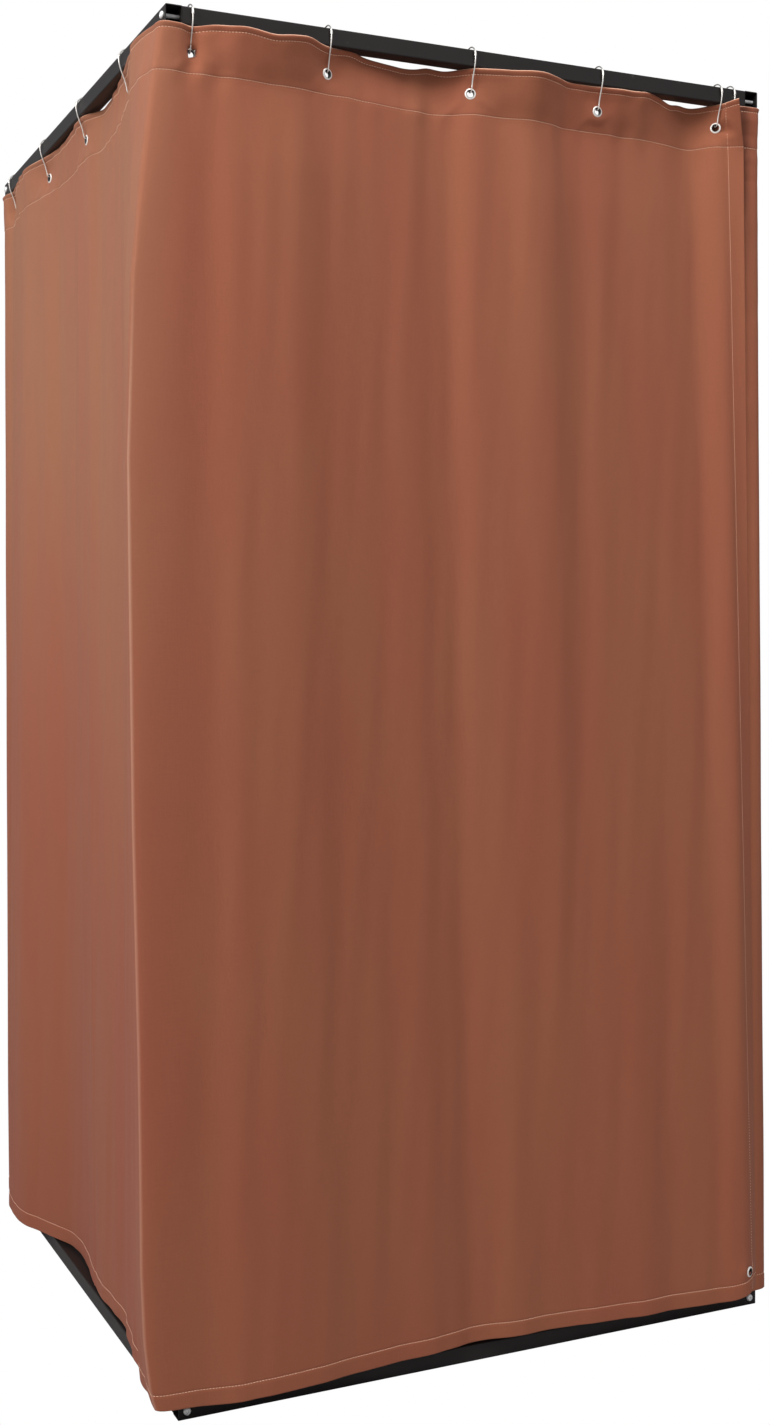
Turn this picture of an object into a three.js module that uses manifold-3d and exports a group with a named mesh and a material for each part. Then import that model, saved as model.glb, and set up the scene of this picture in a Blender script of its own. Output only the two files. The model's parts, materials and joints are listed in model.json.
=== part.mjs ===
import * as THREE from 'three';
import { mergeVertices } from 'three/addons/utils/BufferGeometryUtils.js';
import Module from 'manifold-3d';

const wasm = await Module();
wasm.setup();

// Frame sizes, outside of the tubes
const frameWidth = 1000;
const frameDepth = 1000;
const frameHeight = 1980;

// Square steel tube
const tubeSize = 25;
const tubeWall = 1.2;
const tubeCornerRadius = 2;
const tubeCornerSteps = 2;

// Gap between pieces that fit each other, and how far a cutter runs past its work
const fitGap = 0.3;
const cutOverrun = 3;

// Welded spigots that the posts slide over, and welded threaded end plugs
const spigotLength = 60;
const spigotWall = 1.5;
const spigotCornerSteps = 1;
const plugLength = 14;

// Frame bolts with a domed head and a hexagon socket
const boltDiameter = 6;
const boltThreadReach = 12;
const boltHeadDiameter = 11.5;
const boltHeadHeight = 3.6;
const boltSocketFlats = 4;
const boltSocketDepth = 2;
const boltSocketSides = 6;
const boltSides = 10;
const boltDomeSteps = 3;

// Pear-shaped wire hooks that ride on the tube
const wireDiameter = 2.3;
const wireSides = 5;
const hookSideRoom = 3.55;
const hookBelowTube = 34.8;
const hookToeRadius = 4.5;
const hookNeckHalfWidth = 6.5;
const hookShoulderShare = 0.35;
const hookNeckShare = 0.62;
const claspDiameter = 3.6;
const claspLength = 7;
const claspAngle = 12;
const hookArcSteps = 7;
const hookLegSteps = 4;
const hookToeSteps = 4;

// Pressed metal eyelets
const eyeletOuterDiameter = 17;
const eyeletHoleDiameter = 10.4;
const eyeletThickness = 2.6;
const eyeletRimThickness = 1.2;
const eyeletSides = 12;

// Canvas curtain
const clothThickness = 1.2;
const headerBelowTube = 1;
const seamBelowEyelet = 30.5;
const hemAboveFloor = 30;
const hemEyeletAboveHem = 44;
const foldDepth = 40;
const clothBehindTubeFace = 2.4;
const neckBehindTubeFace = 12;
const neckDropShare = 0.45;
const eyeletBehindTubeAxis = 0.5;
const droopShare = 0.4;
const droopFreeDepth = 10;
const cornerPullShare = 0.75;
const panelGap = 0.3;
const columnsPerStation = 2;
const rowsBelowSeam = 4;

// Where the first and last front hooks hang beside the posts, and where the panels part
const hookBesidePost = 14;
const splitBesideHook = 12;
const overlapHookBesidePost = 22;
const lastHookPitch = 25;
const clothBesidePost = 4;

// The free edge past the last front hook, at the top, at the header seam and at the foot
const topEdgePastHook = 12;
const seamEdgePastHook = 41;
const footEdgePastHook = 32;
const topHemPastHook = 6;
const seamHemPastHook = 21.5;
const footHemPastHook = 15.5;
const hiddenFoldPastHook = 10;
const hiddenEdgePastHook = 19;

// Where the hooks hang, as shares of each side in walking order round the frame
const frontPostShare = tubeSize / frameWidth;
const sidePostShare = tubeSize / frameDepth;
const firstHookShare = 1 - frontPostShare - hookBesidePost / frameWidth;
const splitShare = firstHookShare - splitBesideHook / frameWidth;
const overlapHookShare = frontPostShare + overlapHookBesidePost / frameWidth;
const lastHookShare = overlapHookShare + lastHookPitch / frameWidth;
const frontHookShares = [firstHookShare, 0.752, 0.518, 0.295, lastHookShare];
const leftHookShares = [0.21, 0.455, 0.7, 0.945];
const backHookShares = [0.179, 0.412, 0.646, 0.88];
const rightHookShares = [0.114, 0.347, 0.581, 0.814];
const hemEyeletShare = 1.78;
const footSpreadShare = 0.0291;

// Finishes
const blackCoat = { color: 0x2c2826, roughness: 0.42, metalness: 0.3 };
const zincPlate = { color: 0xb9bbbd, roughness: 0.35, metalness: 0.9 };
const brightWire = { color: 0xc9c6bf, roughness: 0.22, metalness: 1 };
const nickel = { color: 0xbab8b2, roughness: 0.3, metalness: 1 };
const canvas = { color: 0x9c6048, roughness: 0.92, metalness: 0 };

// Sizes that follow from the ones above
const halfTube = tubeSize / 2;
const boltHoleDiameter = boltDiameter + 2 * fitGap;
const wireRadius = wireDiameter / 2;
const hookArcRadius = halfTube + wireRadius + hookSideRoom;
const arcChordShare = Math.cos(Math.PI / 2 / hookArcSteps);
const seatRadius = hookArcRadius * arcChordShare - wireRadius - fitGap - tubeCornerRadius;
const seatHalfWidth = halfTube - tubeCornerRadius;
const hookArcDrop = tubeCornerRadius + Math.sqrt(seatRadius ** 2 - seatHalfWidth ** 2);
const hookArcHeight = frameHeight - hookArcDrop;
const hookToeHeight = frameHeight - tubeSize - hookBelowTube + hookToeRadius;
const toeReach = eyeletBehindTubeAxis + eyeletThickness;
const toeRise = toeReach * Math.tan(Math.PI / 2 / hookToeSteps);
const wireTopInEyelet = hookToeHeight - hookToeRadius + toeRise + wireRadius;
const eyeletRoom = (eyeletHoleDiameter / 2) * Math.cos(Math.PI / eyeletSides);
const eyeletHeight = wireTopInEyelet + 2 * fitGap - eyeletRoom;
const headerHeight = frameHeight - tubeSize - headerBelowTube;
const seamHeight = eyeletHeight - seamBelowEyelet;

// Solids: closed meshes are joined and cut, then turned back into geometry

function toSolid(geometry) {
  const bare = geometry.index ? geometry.toNonIndexed() : geometry.clone();
  bare.deleteAttribute('normal');
  bare.deleteAttribute('uv');
  const merged = mergeVertices(bare, fitGap / 1000);
  return new wasm.Manifold(new wasm.Mesh({
    numProp: 3,
    vertProperties: new Float32Array(merged.attributes.position.array),
    triVerts: new Uint32Array(merged.index.array),
  }));
}

function toGeometry(solid) {
  const mesh = solid.getMesh();
  const geometry = new THREE.BufferGeometry();
  geometry.setAttribute('position', new THREE.BufferAttribute(mesh.vertProperties, 3));
  geometry.setIndex(new THREE.BufferAttribute(mesh.triVerts, 1));
  geometry.computeVertexNormals();
  return geometry;
}

const cabin = new THREE.Group();

function addPiece(name, geometry, finish, parent = cabin) {
  const mesh = new THREE.Mesh(geometry, new THREE.MeshStandardMaterial(finish));
  mesh.name = name;
  parent.add(mesh);
  return mesh;
}

// Square tube with rounded edges, its length along X from the origin

function roundedSquare(Outline, size, radius) {
  const outline = new Outline();
  const flat = size / 2 - radius;
  outline.absarc(flat, flat, radius, 0, Math.PI / 2);
  outline.absarc(-flat, flat, radius, Math.PI / 2, Math.PI);
  outline.absarc(-flat, -flat, radius, Math.PI, Math.PI * 1.5);
  outline.absarc(flat, -flat, radius, Math.PI * 1.5, Math.PI * 2);
  return outline;
}

function squareTube(length, size, wall, radius, cornerSteps = tubeCornerSteps) {
  const section = roundedSquare(THREE.Shape, size, radius);
  section.holes.push(roundedSquare(THREE.Path, size - 2 * wall, Math.max(radius - wall, wall / 2)));
  const settings = { depth: length, bevelEnabled: false, curveSegments: cornerSteps };
  return new THREE.ExtrudeGeometry(section, settings);
}

function tubeAlongX(length) {
  return squareTube(length, tubeSize, tubeWall, tubeCornerRadius).rotateY(Math.PI / 2);
}

function roundCutter(diameter, length) {
  return new THREE.CylinderGeometry(diameter / 2, diameter / 2, length, boltSides);
}

// A rail that runs past the corner: cross holes for a bolt and a spigot at each end

function overrunRail(length, spigotSide) {
  let rail = toSolid(tubeAlongX(length));
  for (const reach of [halfTube, length - halfTube]) {
    const spigotSize = tubeSize - 2 * tubeWall - 2 * fitGap;
    const spigotRadius = tubeCornerRadius - tubeWall / 2;
    const overlapped = spigotLength + tubeWall / 2;
    const spigot = squareTube(overlapped, spigotSize, spigotWall, spigotRadius, spigotCornerSteps);
    if (spigotSide < 0) spigot.rotateX(Math.PI);
    spigot.translate(reach, 0, spigotSide * (halfTube - tubeWall / 2));
    rail = rail.add(toSolid(spigot));
    const hole = roundCutter(boltHoleDiameter, tubeSize + cutOverrun);
    rail = rail.subtract(toSolid(hole.translate(reach, 0, 0)));
  }
  return toGeometry(rail);
}

// A rail that butts between two others: a threaded plug welded in each end

function buttingRail(length) {
  let rail = toSolid(tubeAlongX(length));
  const plugSize = tubeSize - tubeWall;
  for (const middle of [plugLength / 2, length - plugLength / 2]) {
    const plug = new THREE.BoxGeometry(plugLength, plugSize, plugSize).translate(middle, 0, 0);
    const bore = roundCutter(boltHoleDiameter, plugLength + cutOverrun);
    bore.rotateZ(Math.PI / 2).translate(middle, 0, 0);
    rail = rail.add(toSolid(plug)).subtract(toSolid(bore));
  }
  return toGeometry(rail);
}

// Top frame: the side rails run the full depth and the cross rails butt between them
const topHeight = frameHeight - halfTube;
const bottomHeight = halfTube;
const halfWidth = frameWidth / 2;
const halfDepth = frameDepth / 2;
const railInset = tubeSize + fitGap;

for (const [word, side] of [['left', -1], ['right', 1]]) {
  const across = side * (halfWidth - halfTube);
  const top = addPiece(`top_rail_${word}`, overrunRail(frameDepth, -1), blackCoat);
  top.position.set(across, -halfDepth, topHeight);
  top.rotation.z = Math.PI / 2;
  const bottom = addPiece(`bottom_rail_${word}`, buttingRail(frameDepth - 2 * railInset), blackCoat);
  bottom.position.set(across, railInset - halfDepth, bottomHeight);
  bottom.rotation.z = Math.PI / 2;
}

// Bottom frame: the front and back rails run the full width and the side rails butt behind
for (const [word, side] of [['front', -1], ['back', 1]]) {
  const away = side * (halfDepth - halfTube);
  const top = addPiece(`top_rail_${word}`, buttingRail(frameWidth - 2 * railInset), blackCoat);
  top.position.set(railInset - halfWidth, away, topHeight);
  const bottom = addPiece(`bottom_rail_${word}`, overrunRail(frameWidth, 1), blackCoat);
  bottom.position.set(-halfWidth, away, bottomHeight);
}

// Posts stand on the bottom rails and slide over the spigots above and below
const postLength = frameHeight - 2 * tubeSize;
for (const [endWord, end] of [['front', -1], ['back', 1]]) {
  for (const [word, side] of [['left', -1], ['right', 1]]) {
    const tube = squareTube(postLength, tubeSize, tubeWall, tubeCornerRadius);
    const post = addPiece(`post_${endWord}_${word}`, tube, blackCoat);
    post.position.set(side * (halfWidth - halfTube), end * (halfDepth - halfTube), tubeSize);
  }
}

// Frame bolt along Z, its head above the origin and its shank below

function frameBolt() {
  const profile = [new THREE.Vector2(0, -tubeSize - boltThreadReach)];
  profile.push(new THREE.Vector2(boltDiameter / 2, -tubeSize - boltThreadReach));
  profile.push(new THREE.Vector2(boltDiameter / 2, 0));
  for (let step = 0; step <= boltDomeSteps; step += 1) {
    const turn = (step / boltDomeSteps) * (Math.PI / 2);
    const radius = boltHeadDiameter / 2 * Math.cos(turn);
    profile.push(new THREE.Vector2(radius, boltHeadHeight * Math.sin(turn)));
  }
  profile[profile.length - 1].x = 0;
  const body = new THREE.LatheGeometry(profile, boltSides).rotateX(Math.PI / 2);
  const socketRadius = boltSocketFlats / 2 / Math.cos(Math.PI / boltSocketSides);
  const socketLength = boltSocketDepth + cutOverrun;
  const socket = new THREE.CylinderGeometry(socketRadius, socketRadius, socketLength, boltSocketSides);
  socket.rotateX(Math.PI / 2).translate(0, 0, boltHeadHeight - boltSocketDepth + socketLength / 2);
  return toGeometry(toSolid(body).subtract(toSolid(socket)));
}

const boltGeometry = frameBolt();
for (const [endWord, end] of [['front', -1], ['back', 1]]) {
  for (const [word, side] of [['left', -1], ['right', 1]]) {
    const top = addPiece(`top_bolt_${endWord}_${word}`, boltGeometry, zincPlate);
    top.position.set(side * (halfWidth + fitGap), end * (halfDepth - halfTube), topHeight);
    top.rotation.y = side * Math.PI / 2;
    const bottom = addPiece(`bottom_bolt_${endWord}_${word}`, boltGeometry, zincPlate);
    bottom.position.set(side * (halfWidth - halfTube), end * (halfDepth + fitGap), bottomHeight);
    bottom.rotation.x = -end * Math.PI / 2;
  }
}

// The four sides in walking order round the frame, seen from above: front from right to left,
// then left, back and right. Each gives the way along it and the way out of it.
const sides = {
  front: { start: [halfWidth, -halfDepth], along: [-frameWidth, 0], out: [0, -1] },
  left: { start: [-halfWidth, -halfDepth], along: [0, frameDepth], out: [-1, 0] },
  back: { start: [-halfWidth, halfDepth], along: [frameWidth, 0], out: [0, 1] },
  right: { start: [halfWidth, halfDepth], along: [0, -frameDepth], out: [1, 0] },
};

function placeAt(sideName, alongShare, out) {
  const side = sides[sideName];
  return new THREE.Vector2(
    side.start[0] + side.along[0] * alongShare + side.out[0] * out,
    side.start[1] + side.along[1] * alongShare + side.out[1] * out,
  );
}

// Pear-shaped hook outline round the tube, as half widths and heights from the frame's top

function hookOutline() {
  const points = [];
  const arcAt = (turn) => new THREE.Vector2(
    hookArcRadius * Math.cos(turn),
    hookArcHeight + hookArcRadius * Math.sin(turn),
  );
  const toeAt = (turn) => new THREE.Vector2(
    hookToeRadius * Math.cos(turn),
    hookToeHeight + hookToeRadius * Math.sin(turn),
  );
  const legDrop = hookArcHeight - hookToeHeight;
  const leg = (side) => new THREE.CubicBezierCurve(
    new THREE.Vector2(side * hookArcRadius, hookArcHeight),
    new THREE.Vector2(side * hookArcRadius, hookArcHeight - legDrop * hookShoulderShare),
    new THREE.Vector2(side * hookNeckHalfWidth, hookArcHeight - legDrop * hookNeckShare),
    new THREE.Vector2(side * hookToeRadius, hookToeHeight),
  );
  const claspTurn = THREE.MathUtils.degToRad(180 - claspAngle);
  const claspHalfTurn = claspLength / 2 / hookArcRadius;
  for (let step = 0; step < hookArcSteps; step += 1) {
    points.push(arcAt((step / hookArcSteps) * (claspTurn - claspHalfTurn)));
  }
  for (const turn of [claspTurn - claspHalfTurn, claspTurn, claspTurn + claspHalfTurn]) {
    points.push(arcAt(turn));
  }
  for (let step = 0; step < hookLegSteps; step += 1) {
    points.push(leg(-1).getPoint(step / hookLegSteps));
  }
  for (let step = 0; step < hookToeSteps; step += 1) {
    points.push(toeAt(Math.PI + (step / hookToeSteps) * Math.PI));
  }
  for (let step = hookLegSteps; step > 0; step -= 1) {
    points.push(leg(1).getPoint(step / hookLegSteps));
  }
  return { points, claspPlace: hookArcSteps + 1 };
}

// Round wire swept round a closed flat outline in the XZ plane, thicker at the clasp

function wireHook() {
  const { points, claspPlace } = hookOutline();
  const positions = [];
  const triangles = [];
  const count = points.length;
  points.forEach((point, place) => {
    const next = points[(place + 1) % count];
    const before = points[(place + count - 1) % count];
    const way = next.clone().sub(before).normalize();
    const swell = Math.abs(place - claspPlace) <= 1 ? claspDiameter / 2 : wireRadius;
    for (let side = 0; side < wireSides; side += 1) {
      const turn = ((side + 1 / 2) / wireSides) * Math.PI * 2;
      const flat = swell * Math.cos(turn);
      positions.push(point.x + way.y * flat, swell * Math.sin(turn), point.y - way.x * flat);
      const here = place * wireSides + side;
      const beside = place * wireSides + ((side + 1) % wireSides);
      const ahead = ((place + 1) % count) * wireSides + side;
      const aheadBeside = ((place + 1) % count) * wireSides + ((side + 1) % wireSides);
      triangles.push(here, beside, ahead, beside, aheadBeside, ahead);
    }
  });
  const geometry = new THREE.BufferGeometry();
  geometry.setAttribute('position', new THREE.Float32BufferAttribute(positions, 3));
  geometry.setIndex(triangles);
  geometry.computeVertexNormals();
  return geometry;
}

// The curtain is one canvas sheet that walks once round the frame. Its folds are plan outlines
// at five heights: top edge, hook neck, eyelets, header seam and hem. A station is a place on
// the walk.
// Out shares are of the fold depth, positive out of the cabin.
const hookTopShare = -clothBehindTubeFace / foldDepth;
const hookNeckDepthShare = -neckBehindTubeFace / foldDepth;
const hookEyeletShare = -(halfTube + eyeletBehindTubeAxis) / foldDepth;

function freeShares(topShare, seamShare, hemShare) {
  const eyeletShare = (topShare + seamShare) / 2;
  return [topShare, (topShare + eyeletShare) / 2, eyeletShare, seamShare, hemShare];
}

function fold(side, along, topShare, seamShare, hemShare, hemAlong = along, topAlong = along) {
  const alongs = freeShares(topAlong, along, hemAlong);
  return { side, along, alongs, shares: freeShares(topShare, seamShare, hemShare) };
}

function hang(side, along, seamShare, hemShare, hemAlong = along) {
  const shares = [hookTopShare, hookNeckDepthShare, hookEyeletShare, seamShare, hemShare];
  return { side, along, alongs: [along, along, along, along, hemAlong], shares, hook: true };
}

function corner([sideBefore, ...before], [sideAfter, ...after]) {
  return {
    before: { side: sides[sideBefore], shares: freeShares(...before) },
    after: { side: sides[sideAfter], shares: freeShares(...after) },
    turnsTo: sideAfter,
  };
}

// The front panel's foot spreads sideways, because its folds are shallower there
const spread = (along) => splitShare - (splitShare - along) * (1 + footSpreadShare);
const front = (along, ...shares) => fold('front', along, ...shares, spread(along));
const frontHang = (along, ...shares) => hang('front', along, ...shares, spread(along));
const pastLast = (length) => lastHookShare - length / frameWidth;
const pastLastAtFoot = (length) => spread(lastHookShare) - length / frameWidth;
const pastOverlap = (length) => overlapHookShare + length / frameWidth;
const frontPostEdge = frontPostShare + clothBesidePost / frameWidth;
const sidePostEdge = sidePostShare + clothBesidePost / frameDepth;

const [, secondHook, thirdHook, fourthHook] = frontHookShares;
const freeEdge = [pastLast(seamEdgePastHook), pastLastAtFoot(footEdgePastHook), pastLast(topEdgePastHook)];
const sideHem = [pastLast(seamHemPastHook), pastLastAtFoot(footHemPastHook), pastLast(topHemPastHook)];

const stations = [
  fold('front', freeEdge[0], 0.79, 0.15, 0.475, ...freeEdge.slice(1)),
  fold('front', sideHem[0], 0.25, -0.1, 0.875, ...sideHem.slice(1)),
  frontHang(lastHookShare, -0.2, 1),
  front(0.11, -0.85, -0.85, 0.79),
  front(0.17, -0.35, -0.7, 0.77),
  front(0.23, 0.02, -0.67, 0.67),
  frontHang(fourthHook, -0.6, 0.55),
  front(0.35, -0.1, -0.55, 0.44),
  front(0.41, 0.6, -0.1, 0.22),
  front(0.46, 0.3, -0.25, 0.18),
  frontHang(thirdHook, -0.3, 0.06),
  front(0.56, -0.8, -0.62, 0.13),
  front(0.615, -0.85, -0.45, 0.35),
  front(0.68, -0.6, -0.32, 0.48),
  frontHang(secondHook, -0.3, 0.64),
  front(0.805, 0.62, -0.1, 0.82),
  front(0.89, 0.6, 0.12, 1.05),
  front(splitShare, 0.06, 0.06, 0.98),
  hang('front', firstHookShare, 0.055, 0.96),
  fold('front', 1 - frontPostShare, 0.07, 0.055, 0.92),
  fold('front', 1 - frontPostShare * 0.4, 0.12, 0.065, 0.84),
  corner(['front', 0.15, 0.08, 0.8], ['left', 0.4, 0.6, 0.9]),
  fold('left', sidePostShare * 0.48, 0.38, 0.6, 0.9),
  fold('left', 0.05, 0.45, 0.65, 0.8),
  fold('left', 0.085, 0.52, 0.6, 0.68),
  fold('left', 0.13, 0.25, 0.35, 0.52),
  hang('left', leftHookShares[0], -0.05, 0.2),
  fold('left', 0.3, -0.45, -0.35, -0.1),
  fold('left', 0.39, -0.62, -0.5, -0.03),
  hang('left', leftHookShares[1], -0.3, -0.1),
  fold('left', 0.55, -0.28, -0.4, -0.48),
  fold('left', 0.63, -0.33, -0.35, -0.42),
  hang('left', leftHookShares[2], -0.15, 0),
  fold('left', 0.77, 0.35, 0.15, 0.85),
  fold('left', 0.83, 0.3, 0.25, 1.1),
  fold('left', 0.9, 0.05, 0.05, 1),
  hang('left', leftHookShares[3], -0.05, 0.8),
  fold('left', 1 - sidePostEdge, 0.08, 0.08, 0.72),
  fold('left', 1 - sidePostShare * 0.48, 0.12, 0.2, 0.7),
  corner(['left', 0.12, 0.2, 0.7], ['back', 0.12, 0.15, 0.5]),
  fold('back', frontPostShare * 0.48, 0.12, 0.15, 0.5),
  fold('back', 0.08, 0.35, 0.2, 0.75),
  hang('back', backHookShares[0], -0.2, 0.5),
  fold('back', 0.25, -0.5, -0.5, 0.1),
  fold('back', 0.33, -0.6, -0.5, -0.05),
  hang('back', backHookShares[1], -0.25, 0.1),
  fold('back', 0.49, 0.5, 0.1, 0.5),
  fold('back', 0.57, 0.55, 0.05, 0.85),
  hang('back', backHookShares[2], -0.25, 0.65),
  fold('back', 0.73, -0.65, -0.55, 0.25),
  fold('back', 0.8, -0.5, -0.5, 0.3),
  hang('back', backHookShares[3], -0.2, 0.7),
  fold('back', 0.94, 0.4, 0.2, 0.95),
  fold('back', 1 - frontPostShare * 0.48, 0.15, 0.15, 0.6),
  corner(['back', 0.15, 0.15, 0.6], ['right', 0.15, 0.2, 0.7]),
  fold('right', sidePostShare * 0.48, 0.15, 0.2, 0.7),
  fold('right', 0.06, 0.3, 0.25, 0.9),
  hang('right', rightHookShares[0], -0.15, 0.85),
  fold('right', 0.18, -0.4, -0.35, 0.4),
  fold('right', 0.27, -0.55, -0.45, 0.05),
  hang('right', rightHookShares[1], -0.2, 0.15),
  fold('right', 0.43, 0.5, 0.15, 0.75),
  fold('right', 0.51, 0.45, 0.1, 1.1),
  hang('right', rightHookShares[2], -0.25, 0.75),
  fold('right', 0.67, -0.6, -0.5, 0.2),
  fold('right', 0.74, -0.5, -0.45, 0.15),
  hang('right', rightHookShares[3], -0.15, 0.45),
  fold('right', 0.9, 0.3, 0.2, 0.75),
  fold('right', 0.96, 0.2, 0.2, 0.75),
  fold('right', 1 - sidePostShare * 0.48, 0.08, 0.15, 0.7),
  corner(['right', 0.08, 0.15, 0.7], ['front', 0.18, 0.15, 0.15]),
  fold('front', frontPostShare * 0.48, 0.18, 0.12, 0.12),
  fold('front', frontPostEdge, 0.08, 0.06, 0.06),
  hang('front', overlapHookShare, -0.3, -0.05),
  fold('front', pastOverlap(hiddenFoldPastHook), -0.4, -0.55, -0.2),
  fold('front', pastOverlap(hiddenEdgePastHook), -0.62, -0.85, -0.35),
];

const levelNames = ['edge', 'neck', 'eyelet', 'seam', 'hem'];
const levels = [...levelNames.keys()];
const eyeletLevel = levelNames.indexOf('eyelet');
const seamLevel = levelNames.indexOf('seam');

// Plan point of a station at one of the five heights

function stationPoint(station, level) {
  if (station.side) {
    return placeAt(station.side, station.alongs[level], station.shares[level] * foldDepth);
  }
  const { before, after } = station;
  const pull = cornerPullShare * foldDepth;
  const reach = (axis) => after.side.start[axis] +
    pull * (before.side.out[axis] * before.shares[level] + after.side.out[axis] * after.shares[level]);
  return new THREE.Vector2(reach(0), reach(1));
}

const planCurves = levels.map((level) =>
  new THREE.SplineCurve(stations.map((station) => stationPoint(station, level))));
const lastStation = stations.length - 1;

// How far the header droops where it swings in under the tube

function droopAt(place) {
  const near = Math.min(Math.floor(place), lastStation - 1);
  const topShareAt = (index) => (stations[index].side ? stations[index].shares[0] : 0);
  const share = THREE.MathUtils.lerp(topShareAt(near), topShareAt(near + 1), place - near);
  return droopShare * Math.max(0, -share * foldDepth - droopFreeDepth);
}

// A point of the sheet: place counts stations, level counts the five heights

function sheetPoint(place, level) {
  const below = Math.min(Math.floor(level), levels.length - 2);
  const blend = level - below;
  const upper = planCurves[below].getPoint(place / lastStation);
  const lower = planCurves[below + 1].getPoint(place / lastStation);
  const plan = upper.lerp(lower, blend);
  const droop = droopAt(place);
  const edgeHeight = headerHeight - droop;
  const neckHeight = THREE.MathUtils.lerp(edgeHeight, eyeletHeight, neckDropShare);
  const heights = [edgeHeight, neckHeight, eyeletHeight, seamHeight - droop, hemAboveFloor];
  return new THREE.Vector3(plan.x, plan.y, THREE.MathUtils.lerp(heights[below], heights[below + 1], blend));
}

// The way out of the cabin at a point of the sheet, level with the floor

function sheetNormal(place, level) {
  const step = 1 / 50;
  const ahead = sheetPoint(Math.min(place + step, lastStation), level);
  const behind = sheetPoint(Math.max(place - step, 0), level);
  const way = ahead.sub(behind).setZ(0).normalize();
  return new THREE.Vector3(way.y, -way.x, 0).negate();
}

function panelColumns(first, last) {
  const columns = [];
  for (let place = first; place <= last; place += 1 / columnsPerStation) columns.push(place);
  const trim = (place, toward) => {
    const reach = sheetPoint(place, seamLevel).distanceTo(sheetPoint(place + toward, seamLevel));
    return place + (toward * panelGap) / 2 / reach;
  };
  if (first > 0) columns[0] = trim(first, 1);
  if (last < lastStation) columns[columns.length - 1] = trim(last, -1);
  return columns;
}

function panelRows() {
  const rows = levels.slice(0, seamLevel + 1);
  for (let row = 1; row <= rowsBelowSeam; row += 1) rows.push(seamLevel + row / rowsBelowSeam);
  return rows;
}

// Closed slab of cloth between two stations

function clothPanel(first, last) {
  const columns = panelColumns(first, last);
  const rows = panelRows();
  const positions = [];
  for (const face of [1 / 2, -1 / 2]) {
    for (const level of rows) {
      for (const place of columns) {
        const point = sheetPoint(place, level);
        point.addScaledVector(sheetNormal(place, level), face * clothThickness);
        positions.push(point.x, point.y, point.z);
      }
    }
  }
  const across = columns.length;
  const down = rows.length;
  const inside = across * down;
  const triangles = [];
  const quad = (a, b, c, d) => triangles.push(a, b, c, a, c, d);
  for (let row = 0; row < down - 1; row += 1) {
    for (let column = 0; column < across - 1; column += 1) {
      const a = row * across + column;
      quad(a, a + 1, a + across + 1, a + across);
      quad(inside + a, inside + a + across, inside + a + across + 1, inside + a + 1);
    }
  }
  const foot = (down - 1) * across;
  for (let column = 0; column < across - 1; column += 1) {
    quad(column, inside + column, inside + column + 1, column + 1);
    quad(foot + column, foot + column + 1, inside + foot + column + 1, inside + foot + column);
  }
  for (let row = 0; row < down - 1; row += 1) {
    const a = row * across;
    const b = a + across - 1;
    quad(a, a + across, inside + a + across, inside + a);
    quad(b, inside + b, inside + b + across, b + across);
  }
  const geometry = new THREE.BufferGeometry();
  geometry.setAttribute('position', new THREE.Float32BufferAttribute(positions, 3));
  geometry.setIndex(triangles);
  return geometry;
}

// Pressed eyelet with its axis along Y, thick at the bore and thin at the rim

function eyeletRing() {
  const bore = eyeletHoleDiameter / 2;
  const rim = eyeletOuterDiameter / 2;
  const swell = (bore + rim) / 2;
  const profile = [
    new THREE.Vector2(bore, -eyeletThickness / 2),
    new THREE.Vector2(swell, -eyeletThickness / 2),
    new THREE.Vector2(rim, -eyeletRimThickness / 2),
    new THREE.Vector2(rim, eyeletRimThickness / 2),
    new THREE.Vector2(swell, eyeletThickness / 2),
    new THREE.Vector2(bore, eyeletThickness / 2),
    new THREE.Vector2(bore, -eyeletThickness / 2),
  ];
  return new THREE.LatheGeometry(profile, eyeletSides);
}

function seatOnSheet(geometry, place, level) {
  const normal = sheetNormal(place, level);
  const point = sheetPoint(place, level);
  return geometry.rotateZ(Math.atan2(-normal.x, normal.y)).translate(point.x, point.y, point.z);
}

const eyeletCutLength = 2 * foldDepth / 4;

function cutForEyelet(cloth, place, level, diameter) {
  const cutter = new THREE.CylinderGeometry(diameter / 2, diameter / 2, eyeletCutLength, eyeletSides);
  return cloth.subtract(toSolid(seatOnSheet(cutter, place, level)));
}

// Each panel of the sheet, the hooks that carry it and their eyelets
const hookPlaces = stations.map((station, place) => (station.hook ? place : -1)).filter((place) => place >= 0);
const splitPlace = stations.findIndex((station) => station.side === 'front' && station.along === splitShare);
const firstCorner = (sideName) =>
  stations.findIndex((station) => station.turnsTo === sideName);
const panels = [
  { name: 'front', first: 0, last: splitPlace, loose: true },
  { name: 'left', first: splitPlace, last: firstCorner('back') + 2, loose: true },
  { name: 'back', first: firstCorner('back') + 2, last: firstCorner('right') + 2, loose: false },
  { name: 'right', first: firstCorner('right') + 2, last: lastStation, loose: false },
];

const seatDiameter = eyeletOuterDiameter + 2 * fitGap;
const hookGeometry = wireHook();
const overlapPlace = hookPlaces[hookPlaces.length - 1];
const frontCount = frontHookShares.length;
const hookTurns = { front: -Math.PI / 2, left: Math.PI, back: Math.PI / 2, right: 0 };

// Front hooks and eyelets count from left to right, the others in walking order

function pieceNumber(place) {
  if (place === overlapPlace) return frontCount + 1;
  const { side } = stations[place];
  const mates = hookPlaces.filter((other) => stations[other].side === side && other !== overlapPlace);
  return side === 'front' ? frontCount - mates.indexOf(place) : mates.indexOf(place) + 1;
}

function hemEyeletLevel() {
  const drop = seamHeight - hemAboveFloor - hemEyeletAboveHem;
  return seamLevel + drop / (seamHeight - hemAboveFloor);
}

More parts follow.
